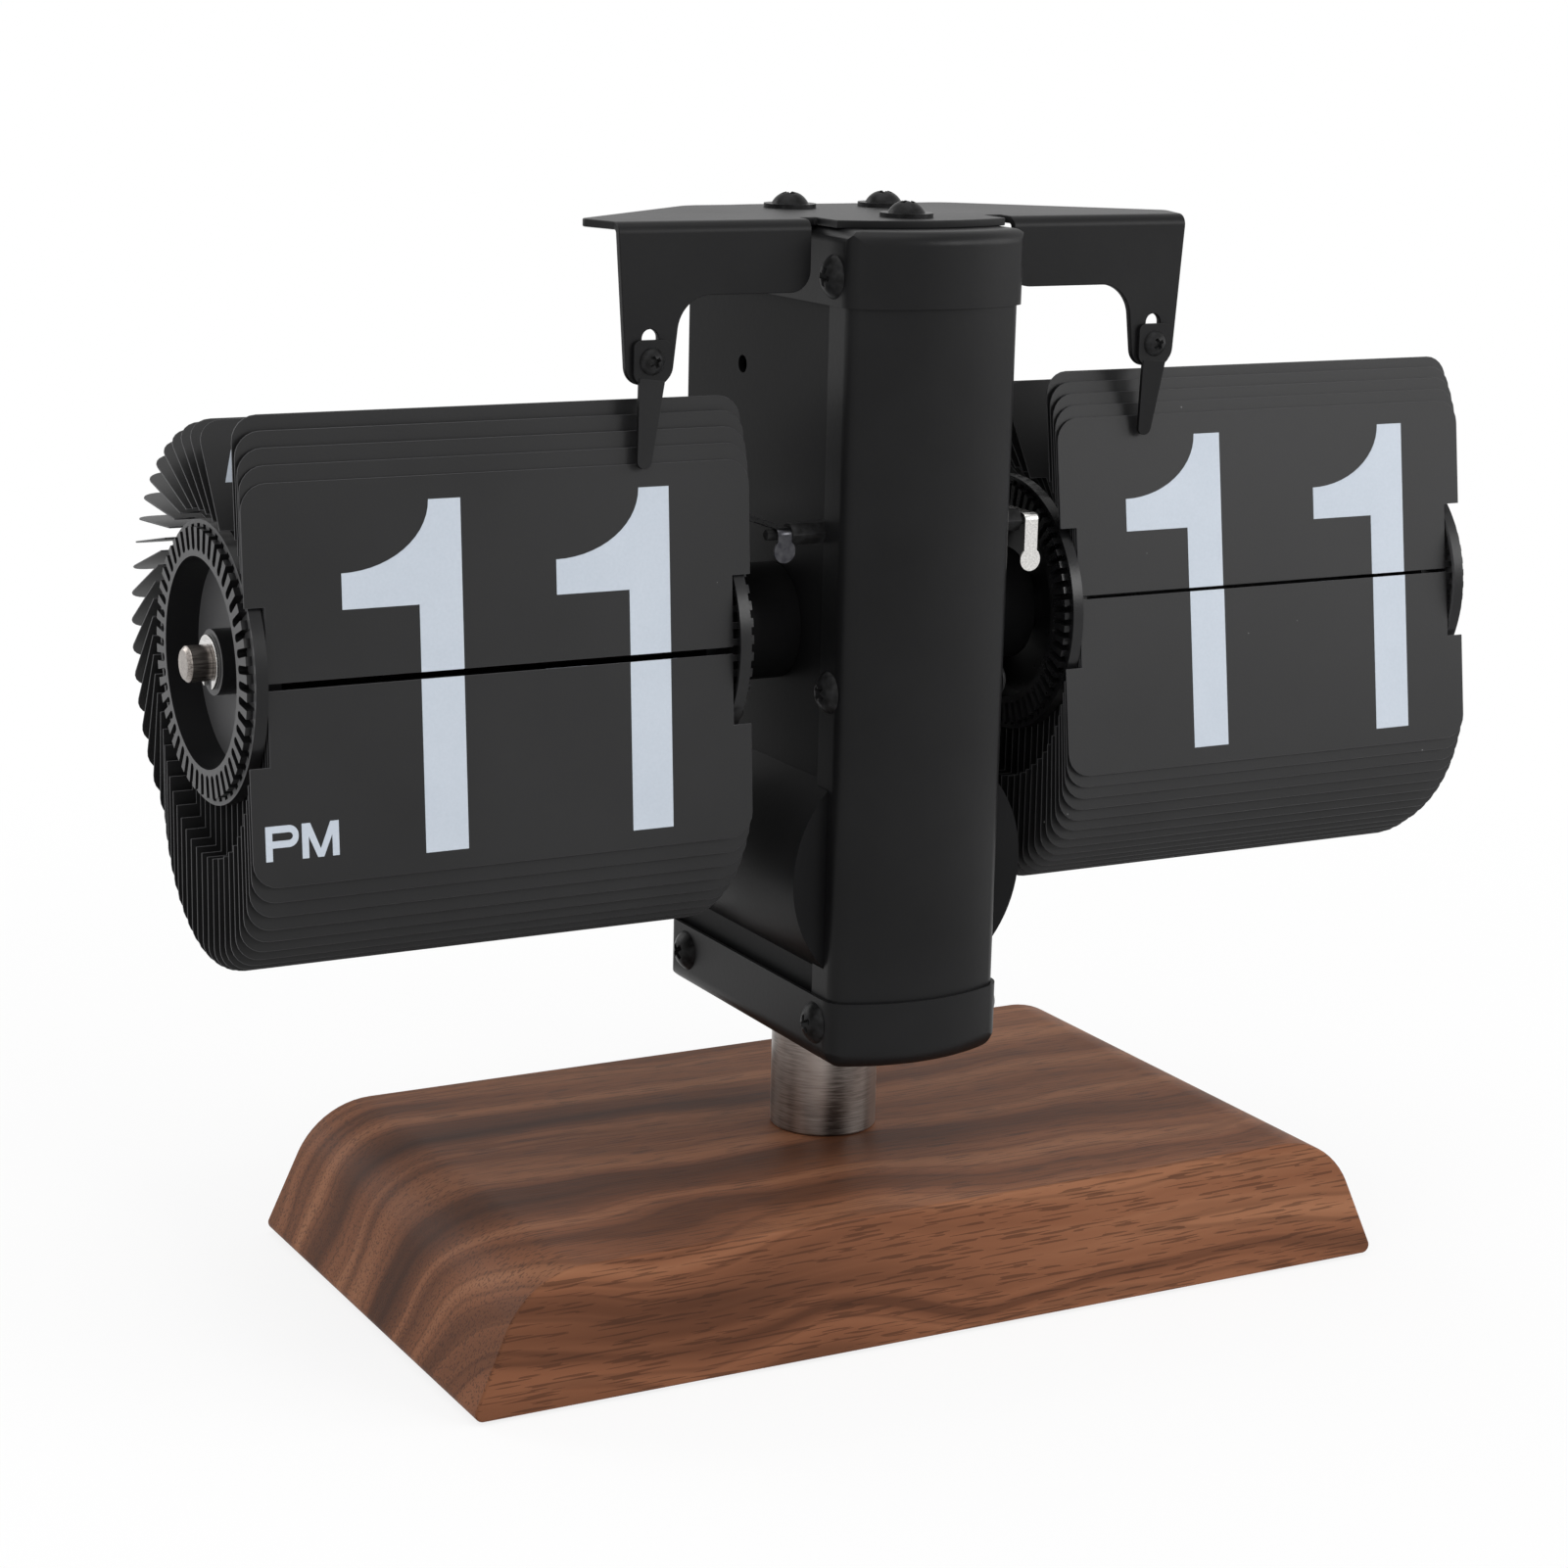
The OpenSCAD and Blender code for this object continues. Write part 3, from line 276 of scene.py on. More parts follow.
def bump(height, shader, depth, strength=1.0):
    """Feeds the shader's normal with a relief of that depth in millimetres."""
    relief = height.node("ShaderNodeBump", {}, {
        "Strength": strength, "Distance": depth * MM, "Height": height})
    relief.feed(shader, "Normal")


def copy_of(node, name):
    """The CAD node's mesh as a new piece, with its triangles merged into whole faces."""
    bpy.ops.object.select_all(action="DESELECT")
    piece = bpy.data.objects.new(name, frame["nodes"][node].data.copy())
    bpy.context.collection.objects.link(piece)
    bpy.context.view_layer.objects.active = piece
    piece.select_set(True)
    bpy.ops.mesh.customdata_custom_splitnormals_clear()
    bpy.ops.object.mode_set(mode="EDIT")
    bpy.ops.mesh.select_all(action="SELECT")
    bpy.ops.mesh.remove_doubles(threshold=MERGE_GAP * MM)
    bpy.ops.mesh.dissolve_limited(angle_limit=FLAT_ANGLE)
    bpy.ops.object.mode_set(mode="OBJECT")
    return piece


def soften(piece, edge, steps=2):
    """Breaks the sharp edges of a piece with a small round and smooths its curved faces."""
    bpy.context.view_layer.objects.active = piece
    round_edges = piece.modifiers.new("round_edges", "BEVEL")
    round_edges.width = edge * MM
    round_edges.segments = steps
    round_edges.limit_method = "ANGLE"
    round_edges.angle_limit = SHARP_ANGLE
    round_edges.harden_normals = False
    bpy.ops.object.modifier_apply(modifier=round_edges.name)
    bpy.ops.object.shade_smooth_by_angle(angle=SMOOTH_ANGLE)
    even_faces = piece.modifiers.new("even_faces", "WEIGHTED_NORMAL")
    even_faces.keep_sharp = True
    bpy.ops.object.modifier_apply(modifier=even_faces.name)


def place_piece(piece, material, node):
    """Gives a finished piece its material and puts it in the place of its CAD node."""
    piece.data.materials.clear()
    piece.data.materials.append(material)
    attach(piece, frame["nodes"][node]["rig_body"])
    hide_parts(node)


def dress(node, material, edge, steps=2):
    """Replaces a CAD node by its own shape with softened edges."""
    piece = copy_of(node, node + "_finished")
    soften(piece, edge, steps)
    place_piece(piece, material, node)
    return piece


walnut, shader, place = start_finish("oiled_walnut", {"Specular IOR Level": 0.08})
waves = noise(place, size=WAVE_LENGTH, detail=2.0, roughness=0.45, stretch=(1.0, 0.75, 0.55))
ripples = noise(place, size=RIPPLE_LENGTH, detail=2.0, roughness=0.5, stretch=(1.8, 1.0, 0.8))
across = place.node("ShaderNodeSeparateXYZ", {}, {0: place}, out="Y")
across_y = across - HEART.y
across_z = across.beside("Z") - HEART.z
ring_radius = (across_y * across_y + across_z * across_z) ** 0.5
ring_radius = ring_radius + (waves - 0.5) * (2 * WAVE_HEIGHT * MM)
ring_radius = ring_radius + (ripples - 0.5) * (2 * RIPPLE_HEIGHT * MM)
along = across.beside("X")
ring_depth = ring_radius * (STREAK_LENGTH / STREAK_WIDTH)
ring_place = place.node("ShaderNodeCombineXYZ", {}, {"X": along, "Y": ring_depth})
streaks = noise(ring_place, size=STREAK_LENGTH, detail=2.0, roughness=0.4)
lines = noise(ring_place, size=STREAK_LENGTH, detail=2.0, roughness=0.5, stretch=(1.0, 0.30, 1.0))
zones = noise(place, size=ZONE_WIDTH, detail=1.0, roughness=0.4, stretch=(3.0, 1.0, 1.0))
pores = noise(place, size=PORE_WIDTH, detail=1.0, roughness=0.4, stretch=(PORE_LENGTH / PORE_WIDTH, 1, 1))
tone = streaks * STREAK_SHARE + lines * LINE_SHARE + zones * ZONE_SHARE
wood = colours(tone, (0.30, WALNUT_DARK), (0.42, WALNUT_BROWN), (0.51, WALNUT_MID), (0.63, WALNUT_PALE))
for ring_line in RING_LINES:
    off_line = streaks - ring_line
    on_line = 1 - off_line * off_line * RING_LINE_SHARPNESS
    wood = mixed(on_line.math("MAXIMUM", on_line, 0.0) * RING_LINE_SHARE, wood, WALNUT_DARK)
pore_mask = (pores < PORE_LEVEL) * PORE_SHARE
wood = mixed(pore_mask, wood, WALNUT_DARK)
wood.feed(shader, "Base Color")
(0.44 + pores * 0.16).feed(shader, "Roughness")
bump(pores, shader, depth=PORE_DEPTH, strength=0.5)
dress("walnut_base", walnut, edge=WALNUT_EDGE, steps=WALNUT_EDGE_STEPS)

# Pad under the base
# A thin sheet of black foam rubber, glued under the block so that it doesn't slip.
PAD_BLACK = (0.012, 0.012, 0.012)
PAD_GREY = (0.03, 0.03, 0.03)
foam, shader, place = start_finish("foam_rubber", {"Roughness": 0.9, "Specular IOR Level": 0.2})
cells = noise(place, size=0.6, detail=2.0)
colours(cells, (0.3, PAD_BLACK), (0.7, PAD_GREY)).feed(shader, "Base Color")
bump(cells, shader, depth=0.1)
dress("base_pad", foam, edge=0.2)

# Pillar
# A short length of turned stainless tube stands between the base and the housing. A long bolt
# from below and a nut in the housing clamp the three together.
STEEL = (0.45, 0.41, 0.38)
STEEL_SHADOW = (0.07, 0.06, 0.054)
BAND_WIDTH = 4.5
BAND_STRETCH = 9


def brushed_steel(name, stretch, roughness):
    """Bare steel with fine brush lines, drawn out along the stretched direction, and broad upright bands of
    painted reflection, dark and light.
    """
    material, shader, place = start_finish(name, {"Metallic": 1.0})
    brush = noise(place, size=0.22, detail=3.0, roughness=0.6, stretch=stretch)
    # Painted reflection: broad upright dark and light bands that stand in for the surroundings mirrored in
    # the steel.
    painted_reflection_bands = noise(place, size=BAND_WIDTH, detail=1.0, roughness=0.4, stretch=(1, 1, BAND_STRETCH))
    colours(brush * 0.35 + painted_reflection_bands * 0.65, (0.36, STEEL_SHADOW), (0.62, STEEL)).feed(shader, "Base Color")
    (roughness - 0.06 + brush * 0.12 + painted_reflection_bands * 0.06).feed(shader, "Roughness")
    bump(brush, shader, depth=0.01, strength=0.4)
    return material


tube_steel = brushed_steel("turned_steel", stretch=(18, 18, 1), roughness=0.30)
bare_steel = brushed_steel("bare_steel", stretch=(14, 1, 1), roughness=0.30)
dress("pillar_tube", tube_steel, edge=0.35, steps=3)
dress("pillar_bolt", bare_steel, edge=0.2)
dress("pillar_nut", bare_steel, edge=0.2)

# Housing
# A folded steel column with a rounded front, closed by two pressed caps, with flat side covers
# that carry half a battery bulge each. All of it is coated in satin black paint. The lower front
# corners of the bottom cap are rounded off.
PAINT_BLACK = (0.0055, 0.0055, 0.0058)
PAINT_DUSTY = (0.009, 0.009, 0.0094)
PAINT_CLOUD = 22
PAINT_GRAIN = 0.9
PEEL_DEPTH = 0.012
CAP_EDGE = 0.15
COLUMN_EDGE = 0.12
COVER_EDGE = 0.3
CAP_HALF_WIDTH = 14.35
CAP_CORNER = (10.5, -24.27)
CAP_CORNER_ROUND = 3.85
NOSE_CENTRE = (0, -1.8)
NOSE_ROUND = 28.65
NOSE_TURN = 25.05
CAP_EDGE_ROUND = 3.2
CAP_FLOOR = 37.85
BLOCK_HEIGHT = 15
BLOCK_REAR = 40
ARC_STEPS = 24
EDGE_STEPS = 10


def black_paint(name, roughness, gloss):
    """Satin black paint with a faint orange peel, uneven gloss and a little dust."""
    material, shader, place = start_finish(name, {"Specular IOR Level": gloss})
    cloud = noise(place, size=PAINT_CLOUD, detail=3.0)
    grain = noise(place, size=PAINT_GRAIN, detail=2.0)
    colours(cloud, (0.3, PAINT_BLACK), (0.75, PAINT_DUSTY)).feed(shader, "Base Color")
    (roughness - 0.05 + cloud * 0.08 + grain * 0.04).feed(shader, "Roughness")
    bump(grain, shader, depth=PEEL_DEPTH)
    return material


def arc(centre, size, first, last, steps):
    """Points on an arc round a centre, between two angles in degrees."""
    turns = [radians(first + (last - first) * step / steps) for step in range(steps + 1)]
    return [(centre[0] + size * cos(turn), centre[1] + size * sin(turn)) for turn in turns]


def outline_curve(name, outlines):
    """A flat filled curve through closed outlines that are drawn in millimetres."""
    shape = bpy.data.curves.new(name, "CURVE")
    shape.dimensions = "2D"
    shape.fill_mode = "BOTH"
    for outline in outlines:
        line = shape.splines.new("POLY")
        line.points.add(len(outline) - 1)
        line.use_cyclic_u = True
        for point, (x, y) in zip(line.points, outline):
            point.co = (x * MM, y * MM, 0, 1)
    return shape


def solid_from(shape, placement):
    """Turns a curve into a closed mesh and moves it to its place."""
    bpy.ops.object.select_all(action="DESELECT")
    solid = bpy.data.objects.new(shape.name, shape)
    bpy.context.collection.objects.link(solid)
    bpy.context.view_layer.objects.active = solid
    solid.select_set(True)
    bpy.ops.object.convert(target="MESH")
    solid = bpy.context.object
    solid.data.transform(placement)
    bpy.ops.object.mode_set(mode="EDIT")
    bpy.ops.mesh.select_all(action="SELECT")
    bpy.ops.mesh.remove_doubles(threshold=MERGE_GAP * MM)
    bpy.ops.mesh.normals_make_consistent(inside=False)
    bpy.ops.object.mode_set(mode="OBJECT")
    return solid


def combine(piece, other, operation):
    """Changes a piece by another solid, which is used up."""
    bpy.ops.object.select_all(action="DESELECT")
    piece.select_set(True)
    bpy.context.view_layer.objects.active = piece
    change = piece.modifiers.new("combine", "BOOLEAN")
    change.operation = operation
    change.solver = "EXACT"
    change.object = other
    bpy.ops.object.modifier_apply(modifier=change.name)
    bpy.data.objects.remove(other)


def rounded_block():
    """A block just larger than the bottom cap in front, with its lower edge rounded along the outline."""
    x, y = CAP_CORNER
    outline = [(CAP_HALF_WIDTH, BLOCK_REAR)]
    outline += arc((x, y), CAP_CORNER_ROUND, 0, NOSE_TURN - 90, ARC_STEPS)
    outline += arc(NOSE_CENTRE, NOSE_ROUND, NOSE_TURN - 90, -90 - NOSE_TURN, ARC_STEPS)[1:-1]
    outline += arc((-x, y), CAP_CORNER_ROUND, -90 - NOSE_TURN, -180, ARC_STEPS)
    outline.append((-CAP_HALF_WIDTH, BLOCK_REAR))
    shape = outline_curve("rounded_block", [outline])
    shape.bevel_depth = CAP_EDGE_ROUND * MM
    shape.bevel_resolution = EDGE_STEPS
    shape.offset = -CAP_EDGE_ROUND * MM
    shape.extrude = (BLOCK_HEIGHT / 2 - CAP_EDGE_ROUND) * MM
    return solid_from(shape, Matrix.Translation((0, 0, (CAP_FLOOR + BLOCK_HEIGHT / 2) * MM)))


housing_paint = black_paint("satin_black_paint", roughness=0.36, gloss=0.12)
cover_paint = black_paint("satin_black_cover", roughness=0.42, gloss=0.05)
bottom_cap = copy_of("bottom_cap", "bottom_cap_finished")
combine(bottom_cap, rounded_block(), "INTERSECT")
soften(bottom_cap, CAP_EDGE)
place_piece(bottom_cap, housing_paint, "bottom_cap")
dress("top_cap", housing_paint, edge=CAP_EDGE)
dress("front_column", housing_paint, edge=COLUMN_EDGE)
for node in ("left_side_cover", "right_side_cover", "rear_cover"):
    dress(node, cover_paint, edge=COVER_EDGE)

# Screws of the housing
# Pan-head screws, blackened, with a cross recess. They hold the caps and the covers to the column.
CROSS_LENGTH = 4.0
CROSS_WIDTH = 0.95
CROSS_DEPTH = 1.2
CROSS_FOOT_LENGTH = 0.45
CROSS_FOOT_WIDTH = 0.8
FIRST_TURN = 0.5
TURN_STEP = 0.9
SCREW_EDGE = 0.06
OXIDE_BLACK = (0.008, 0.008, 0.008)
OXIDE_WORN = (0.025, 0.025, 0.026)
black_oxide, shader, place = start_finish("blackened_screw", {"Specular IOR Level": 0.07})
scuffs = noise(place, size=1.2, detail=3.0)
colours(scuffs, (0.35, OXIDE_BLACK), (0.8, OXIDE_WORN)).feed(shader, "Base Color")
(0.24 + scuffs * 0.16).feed(shader, "Roughness")
bump(scuffs, shader, depth=0.02)


def solid_boxes(node):
    """Lowest and highest corner of each separate solid of a CAD node."""
    copy_of(node, "loose_solids")
    bpy.ops.object.mode_set(mode="EDIT")
    bpy.ops.mesh.select_all(action="SELECT")
    bpy.ops.mesh.separate(type="LOOSE")
    bpy.ops.object.mode_set(mode="OBJECT")
    solids = bpy.context.selected_objects
    boxes = [(Vector(solid.bound_box[0]), Vector(solid.bound_box[6])) for solid in solids]
    bpy.ops.object.delete()
    return boxes


def cross_cutter(at, outward, turn, scale):
    """Two tapered bars that cross at a screw head's top and point into it."""
    bars = []
    for angle in (turn, turn + pi / 2):
        bpy.ops.object.select_all(action="DESELECT")
        bpy.ops.mesh.primitive_cube_add(size=2)
        bar = bpy.context.object
        bpy.ops.object.mode_set(mode="EDIT")
        bpy.ops.transform.resize(value=(CROSS_LENGTH / 2 * MM * scale, CROSS_WIDTH / 2 * MM * scale,
                                        CROSS_DEPTH * MM * scale))
        bpy.ops.object.mode_set(mode="OBJECT")
        for corner in bar.data.vertices:
            if corner.co.z < 0:
                corner.co.x *= CROSS_FOOT_LENGTH
                corner.co.y *= CROSS_FOOT_WIDTH
        facing = outward.to_track_quat("Z", "Y").to_matrix().to_4x4()
        bar.data.transform(Matrix.Translation(at) @ facing @ Matrix.Rotation(angle, 4, "Z"))
        bars.append(bar)
    return bars


def cross_heads(node, outward_of, scale=1.0):
    """Cuts a cross into the head of every screw of a node and finishes the screws."""
    boxes = solid_boxes(node)
    screws = copy_of(node, node + "_finished")
    for number, (low, high) in enumerate(boxes):
        middle = (low + high) / 2
        outward = outward_of(middle)
        half = (high - low) / 2
        top = middle + Vector([outward[i] * half[i] for i in range(3)])
        for bar in cross_cutter(top, outward, FIRST_TURN + TURN_STEP * number, scale):
            combine(screws, bar, "DIFFERENCE")
    soften(screws, SCREW_EDGE)
    place_piece(screws, black_oxide, node)


def to_side(middle):
    """Outward from the housing's nearer side."""
    return Vector((1 if middle.x > 0 else -1, 0, 0))


cross_heads("side_screws", to_side)

# Battery
# One round cell lies in the bulges, between a flat front contact and a dished spring in the cap.
# The cap is black plastic with a coin slot, and plugs into the tube at the back.
CELL_DARK = (0.02, 0.02, 0.022)
CELL_COPPER = (0.42, 0.20, 0.08)
CELL_BAND = -6
SCRATCH_GREY = (0.10, 0.09, 0.08)
SPRING_GREY = (0.52, 0.51, 0.50)
SPRING_BRIGHT = (0.74, 0.73, 0.71)
sleeve, shader, place = start_finish("printed_cell_sleeve", {"Coat Weight": 0.4, "Coat Roughness": 0.1})
scratches = noise(place, size=1.0, detail=3.0, roughness=0.6, stretch=(1, 6, 1))
depth = place.node("ShaderNodeSeparateXYZ", {}, {0: place}, out="Y")
band = colours(depth < CELL_BAND * MM, (0.0, CELL_DARK), (1.0, CELL_COPPER))
mixed(scratches * 0.25, band, SCRATCH_GREY).feed(shader, "Base Color")
(0.22 + scratches * 0.15).feed(shader, "Roughness")
dress("battery_cell", sleeve, edge=0.8, steps=3)

spring_steel, shader, place = start_finish("spring_steel_strip", {"Metallic": 1.0})
rolled = noise(place, size=0.3, detail=3.0, roughness=0.6, stretch=(1, 10, 1))
colours(rolled, (0.3, SPRING_GREY), (0.7, SPRING_BRIGHT)).feed(shader, "Base Color")
(0.16 + rolled * 0.14).feed(shader, "Roughness")
bump(rolled, shader, depth=0.006, strength=0.5)
dress("front_contact", spring_steel, edge=0.1)
dress("battery_spring", spring_steel, edge=0.08)
dress("battery_cap", cover_paint, edge=0.5, steps=3)

# Bracket and fingers
# A plate of folded sheet with two arms, screwed on the top cap by three flanged screws. A small
# finger on each leg stops the top flap; its screw lets it slide up and down in a slot.
FINGER_CROSS = 0.68
bracket_paint = black_paint("satin_black_bracket", roughness=0.40, gloss=0.12)
dress("top_bracket", bracket_paint, edge=0.22)
dress("hour_finger", bracket_paint, edge=0.12)
dress("minute_finger", bracket_paint, edge=0.12)


def to_top(middle):
    """Straight up, wherever the screw is."""
    return Vector((0, 0, 1))


def to_front(middle):
    """Straight to the front, wherever the screw is."""
    return Vector((0, -1, 0))


cross_heads("bracket_screws", to_top)
cross_heads("hour_finger_screw", to_front, scale=FINGER_CROSS)
cross_heads("minute_finger_screw", to_front, scale=FINGER_CROSS)

# Click springs
# Two blackened posts screwed into the side covers carry strips of spring steel, whose bent ends
# click against the inner wheels. The hour's strip is the same spring steel, painted dark as painted
# shade for the dark surroundings it mirrors; the minute's is bright.
SPRING_PAINTED_SHADE_DARK = (0.035, 0.035, 0.04)
SPRING_PAINTED_SHADE_PALE = (0.07, 0.07, 0.075)
# Painted shade: a darkened copy of the spring steel, standing in for the dark surroundings mirrored in the
# hour's strip.
shaded_spring_steel, shader, place = start_finish("spring_steel_painted_shade", {"Metallic": 1.0})
shade_mottle = noise(place, size=0.8, detail=3.0)
colours(shade_mottle, (0.3, SPRING_PAINTED_SHADE_DARK), (0.7, SPRING_PAINTED_SHADE_PALE)).feed(shader, "Base Color")
(0.22 + shade_mottle * 0.14).feed(shader, "Roughness")
bump(shade_mottle, shader, depth=0.006, strength=0.5)
dress("spring_posts", black_oxide, edge=0.15)
dress("hour_leaf_spring", shaded_spring_steel, edge=0.05)
dress("minute_leaf_spring", spring_steel, edge=0.05)

# Bearings
# Moulded black bosses stand on the side covers round turned brass bushings; two smaller
# bushings carry the change arbor inside the housing.
BRASS_DARK = (0.48, 0.33, 0.13)
BRASS_PALE = (0.66, 0.48, 0.21)
brass, shader, place = start_finish("turned_brass", {"Metallic": 1.0})
turning = noise(place, size=0.25, detail=3.0, roughness=0.6, stretch=(1, 8, 8))
colours(turning, (0.3, BRASS_DARK), (0.7, BRASS_PALE)).feed(shader, "Base Color")
(0.22 + turning * 0.14).feed(shader, "Roughness")
bump(turning, shader, depth=0.006, strength=0.5)
for node in ("hour_boss", "minute_boss"):
    dress(node, cover_paint, edge=COVER_EDGE)
for node in ("hour_bushing", "minute_bushing", "change_bushings"):
    dress(node, brass, edge=0.12)

# Drive and gear train
# A small geared motor on an angle plate turns the minute shaft; a change arbor slows the hour
# shaft. The wheels are moulded white plastic, the pinions on steel arbors are brass.
GEAR_DULL = (0.62, 0.60, 0.54)
GEAR_WHITE = (0.78, 0.76, 0.70)
BOARD_GREEN = (0.01, 0.075, 0.03)
TRACK_GREEN = (0.02, 0.13, 0.05)
gear_plastic, shader, place = start_finish("white_gear_plastic", {"Specular IOR Level": 0.45})
moulding = noise(place, size=5, detail=3.0)
colours(moulding, (0.3, GEAR_DULL), (0.75, GEAR_WHITE)).feed(shader, "Base Color")
(0.36 + moulding * 0.12).feed(shader, "Roughness")
bump(moulding, shader, depth=0.02)
lacquer, shader, place = start_finish("green_board_lacquer", {"Coat Weight": 0.5, "Coat Roughness": 0.15})
tracks = noise(place, size=1.6, detail=1.0, roughness=0.3, stretch=(1, 1, 4))
colours(tracks, (0.46, BOARD_GREEN), (0.54, TRACK_GREEN)).feed(shader, "Base Color")
(0.32 + tracks * 0.1).feed(shader, "Roughness")
bump(tracks, shader, depth=0.03)
for node, edge, material, slot in [
        ("drive_motor", 0.4, bare_steel, "steel"), ("motor_bracket", 0.1, bare_steel, "steel"),
        ("motor_screws", 0.05, bare_steel, "steel"), ("circuit_board", 0.1, lacquer, "board_green"),
        ("motor_shaft", 0.1, bare_steel, "steel"), ("change_arbor", 0.1, bare_steel, "steel"),
        ("motor_pinion", 0.03, brass, "brass"), ("change_pinion", 0.03, brass, "brass"),
        ("minute_gear", 0.05, gear_plastic, "gear_white"),
        ("minute_pinion", 0.03, gear_plastic, "gear_white"),
        ("change_wheel", 0.05, gear_plastic, "gear_white"),
        ("hour_gear", 0.05, gear_plastic, "gear_white")]:
    dress(node, material, edge, steps=1)

# Drums
# Each drum is a steel shaft with two slotted wheels of glossy black plastic and a spacer sleeve,
# held at the outer end by an open spring clip. A thin ring closes the slots from behind.
WHEEL_EDGE = 0.09
RING_STEPS = 96
BACKING_DEPTH = 1.38
BACKING_THICKNESS = 0.14
BACKING_OUTER = 18.9
BACKING_INNER = 15.0
GLOSS_BLACK = (0.006, 0.006, 0.0065)
GLOSS_PALE = (0.012, 0.012, 0.0125)
FACE_PAINTED_LIGHT_GREY = (0.07, 0.07, 0.072)
WALL_BLACK = (0.008, 0.008, 0.0085)
FACE_LIMIT = 0.9
gloss_plastic, shader, place = start_finish("gloss_black_plastic", {"Specular IOR Level": 0.2})
flow = noise(place, size=8, detail=3.0)
fine = noise(place, size=0.5, detail=2.0)
colours(flow, (0.3, GLOSS_BLACK), (0.75, GLOSS_PALE)).feed(shader, "Base Color")
(0.22 + flow * 0.10 + fine * 0.03).feed(shader, "Roughness")
bump(fine, shader, depth=0.006)
# Outer wheels: the faces across the axle get a grey base colour as painted light, as if lit by a lamp at
# the left back; the walls stay black. The faces are also rougher.
wheel_plastic, shader, place = start_finish("wheel_plastic_matt_with_painted_lit_faces", {"Specular IOR Level": 0.2})
cloud = noise(place, size=6, detail=3.0)
grain = noise(place, size=0.4, detail=2.0)
faces_along = place.node("ShaderNodeSeparateXYZ", {}, {0: place.beside("Normal")}, out="X")
is_face = faces_along.math("ABSOLUTE", faces_along) > FACE_LIMIT
painted_face_light = is_face * (0.85 + cloud * 0.3)
mixed(painted_face_light, WALL_BLACK, FACE_PAINTED_LIGHT_GREY).feed(shader, "Base Color")
(0.24 + is_face * 0.16 + cloud * 0.08 + grain * 0.03).feed(shader, "Roughness")
bump(grain, shader, depth=0.006)


def backing_ring(place):
    """A thin flat ring round the axle at the given place."""
    bpy.ops.object.select_all(action="DESELECT")
    bpy.ops.mesh.primitive_cylinder_add(vertices=RING_STEPS, radius=BACKING_OUTER * MM,
                                        depth=BACKING_THICKNESS * MM, end_fill_type="NOTHING",
                                        rotation=(0, pi / 2, 0), location=place)
    ring = bpy.context.object
    width = ring.modifiers.new("ring_width", "SOLIDIFY")
    width.thickness = (BACKING_OUTER - BACKING_INNER) * MM
    width.offset = -1
    bpy.ops.object.modifier_apply(modifier=width.name)
    return ring


def slotted_wheel(node, is_outer, material):
    """A wheel whose slots are closed from behind by a thin ring, clear of the flaps' ears."""
    wheel = copy_of(node, node + "_finished")
    low, high = Vector(wheel.bound_box[0]), Vector(wheel.bound_box[6])
    centre = (low + high) / 2
    faces_right = (centre.x > 0) == is_outer
    ring_x = high.x - BACKING_DEPTH * MM if faces_right else low.x + BACKING_DEPTH * MM
    combine(wheel, backing_ring((ring_x, centre.y, centre.z)), "UNION")
    soften(wheel, WHEEL_EDGE, steps=1)
    place_piece(wheel, material, node)


for drum in ("hour", "minute"):
    dress(drum + "_shaft", bare_steel, edge=0.1)
    dress(drum + "_clip", spring_steel, edge=0.08)
    dress(drum + "_sleeve", gloss_plastic, edge=0.2)
    slotted_wheel(drum + "_inner_wheel", False, gloss_plastic)
    slotted_wheel(drum + "_outer_wheel", True, wheel_plastic)

# Flaps
# Thin black plastic leaves with a fine matt face, stamped with an ear on each side. They stand,
# fan out and hang round the drums; the front one of each drum falls when the number changes.
FLAP_EDGE = 0.05
FLAP_BLACK = (0.007, 0.007, 0.0074)
FLAP_WORN = (0.0115, 0.0115, 0.012)
FLAP_EDGE_HIGHLIGHT = (0.055, 0.055, 0.058)
DUST = (0.30, 0.30, 0.30)
NARROW_FACE_AREA = 60
SPECK_SPACING = 5.5
SPECK_SIZE = 0.03
flap_plastic, shader, place = start_finish("matt_flap_plastic", {"Specular IOR Level": 0.24})
haze = noise(place, size=30, detail=3.0)
satin = noise(place, size=0.35, detail=2.0)
speck_scale = 1 / (SPECK_SPACING * MM)
cell = place.node("ShaderNodeTexVoronoi", {}, {"Vector": place, "Scale": speck_scale}, out="Distance")
speck_tone = cell.node("ShaderNodeSeparateColor", {}, {0: cell.beside("Color")}, out=0)
specks = (cell < speck_tone * SPECK_SIZE) * 0.5
flap_tone = colours(haze, (0.3, FLAP_BLACK), (0.75, FLAP_WORN))
# Painted highlight: the narrow edge faces of the flaps are painted paler, standing in for light catching
# their edges.
cut_edge = place.node("ShaderNodeAttribute", {"attribute_name": "cut_edge"}, {}, out="Fac")
flap_tone = mixed(cut_edge * (0.6 + haze * 0.4), flap_tone, FLAP_EDGE_HIGHLIGHT)
mixed(specks, flap_tone, DUST).feed(shader, "Base Color")
(0.38 + haze * 0.08 + satin * 0.06).feed(shader, "Roughness")
bump(satin, shader, depth=0.008)


def mark_painted_edge_highlights(leaves):
    """Marks the narrow faces of the leaves, which get a painted highlight paler than their broad sides."""
    marks = leaves.data.attributes.new("cut_edge", "FLOAT", "FACE")
    for face, mark in zip(leaves.data.polygons, marks.data):
        mark.value = 1.0 if face.area < NARROW_FACE_AREA * MM * MM else 0.0


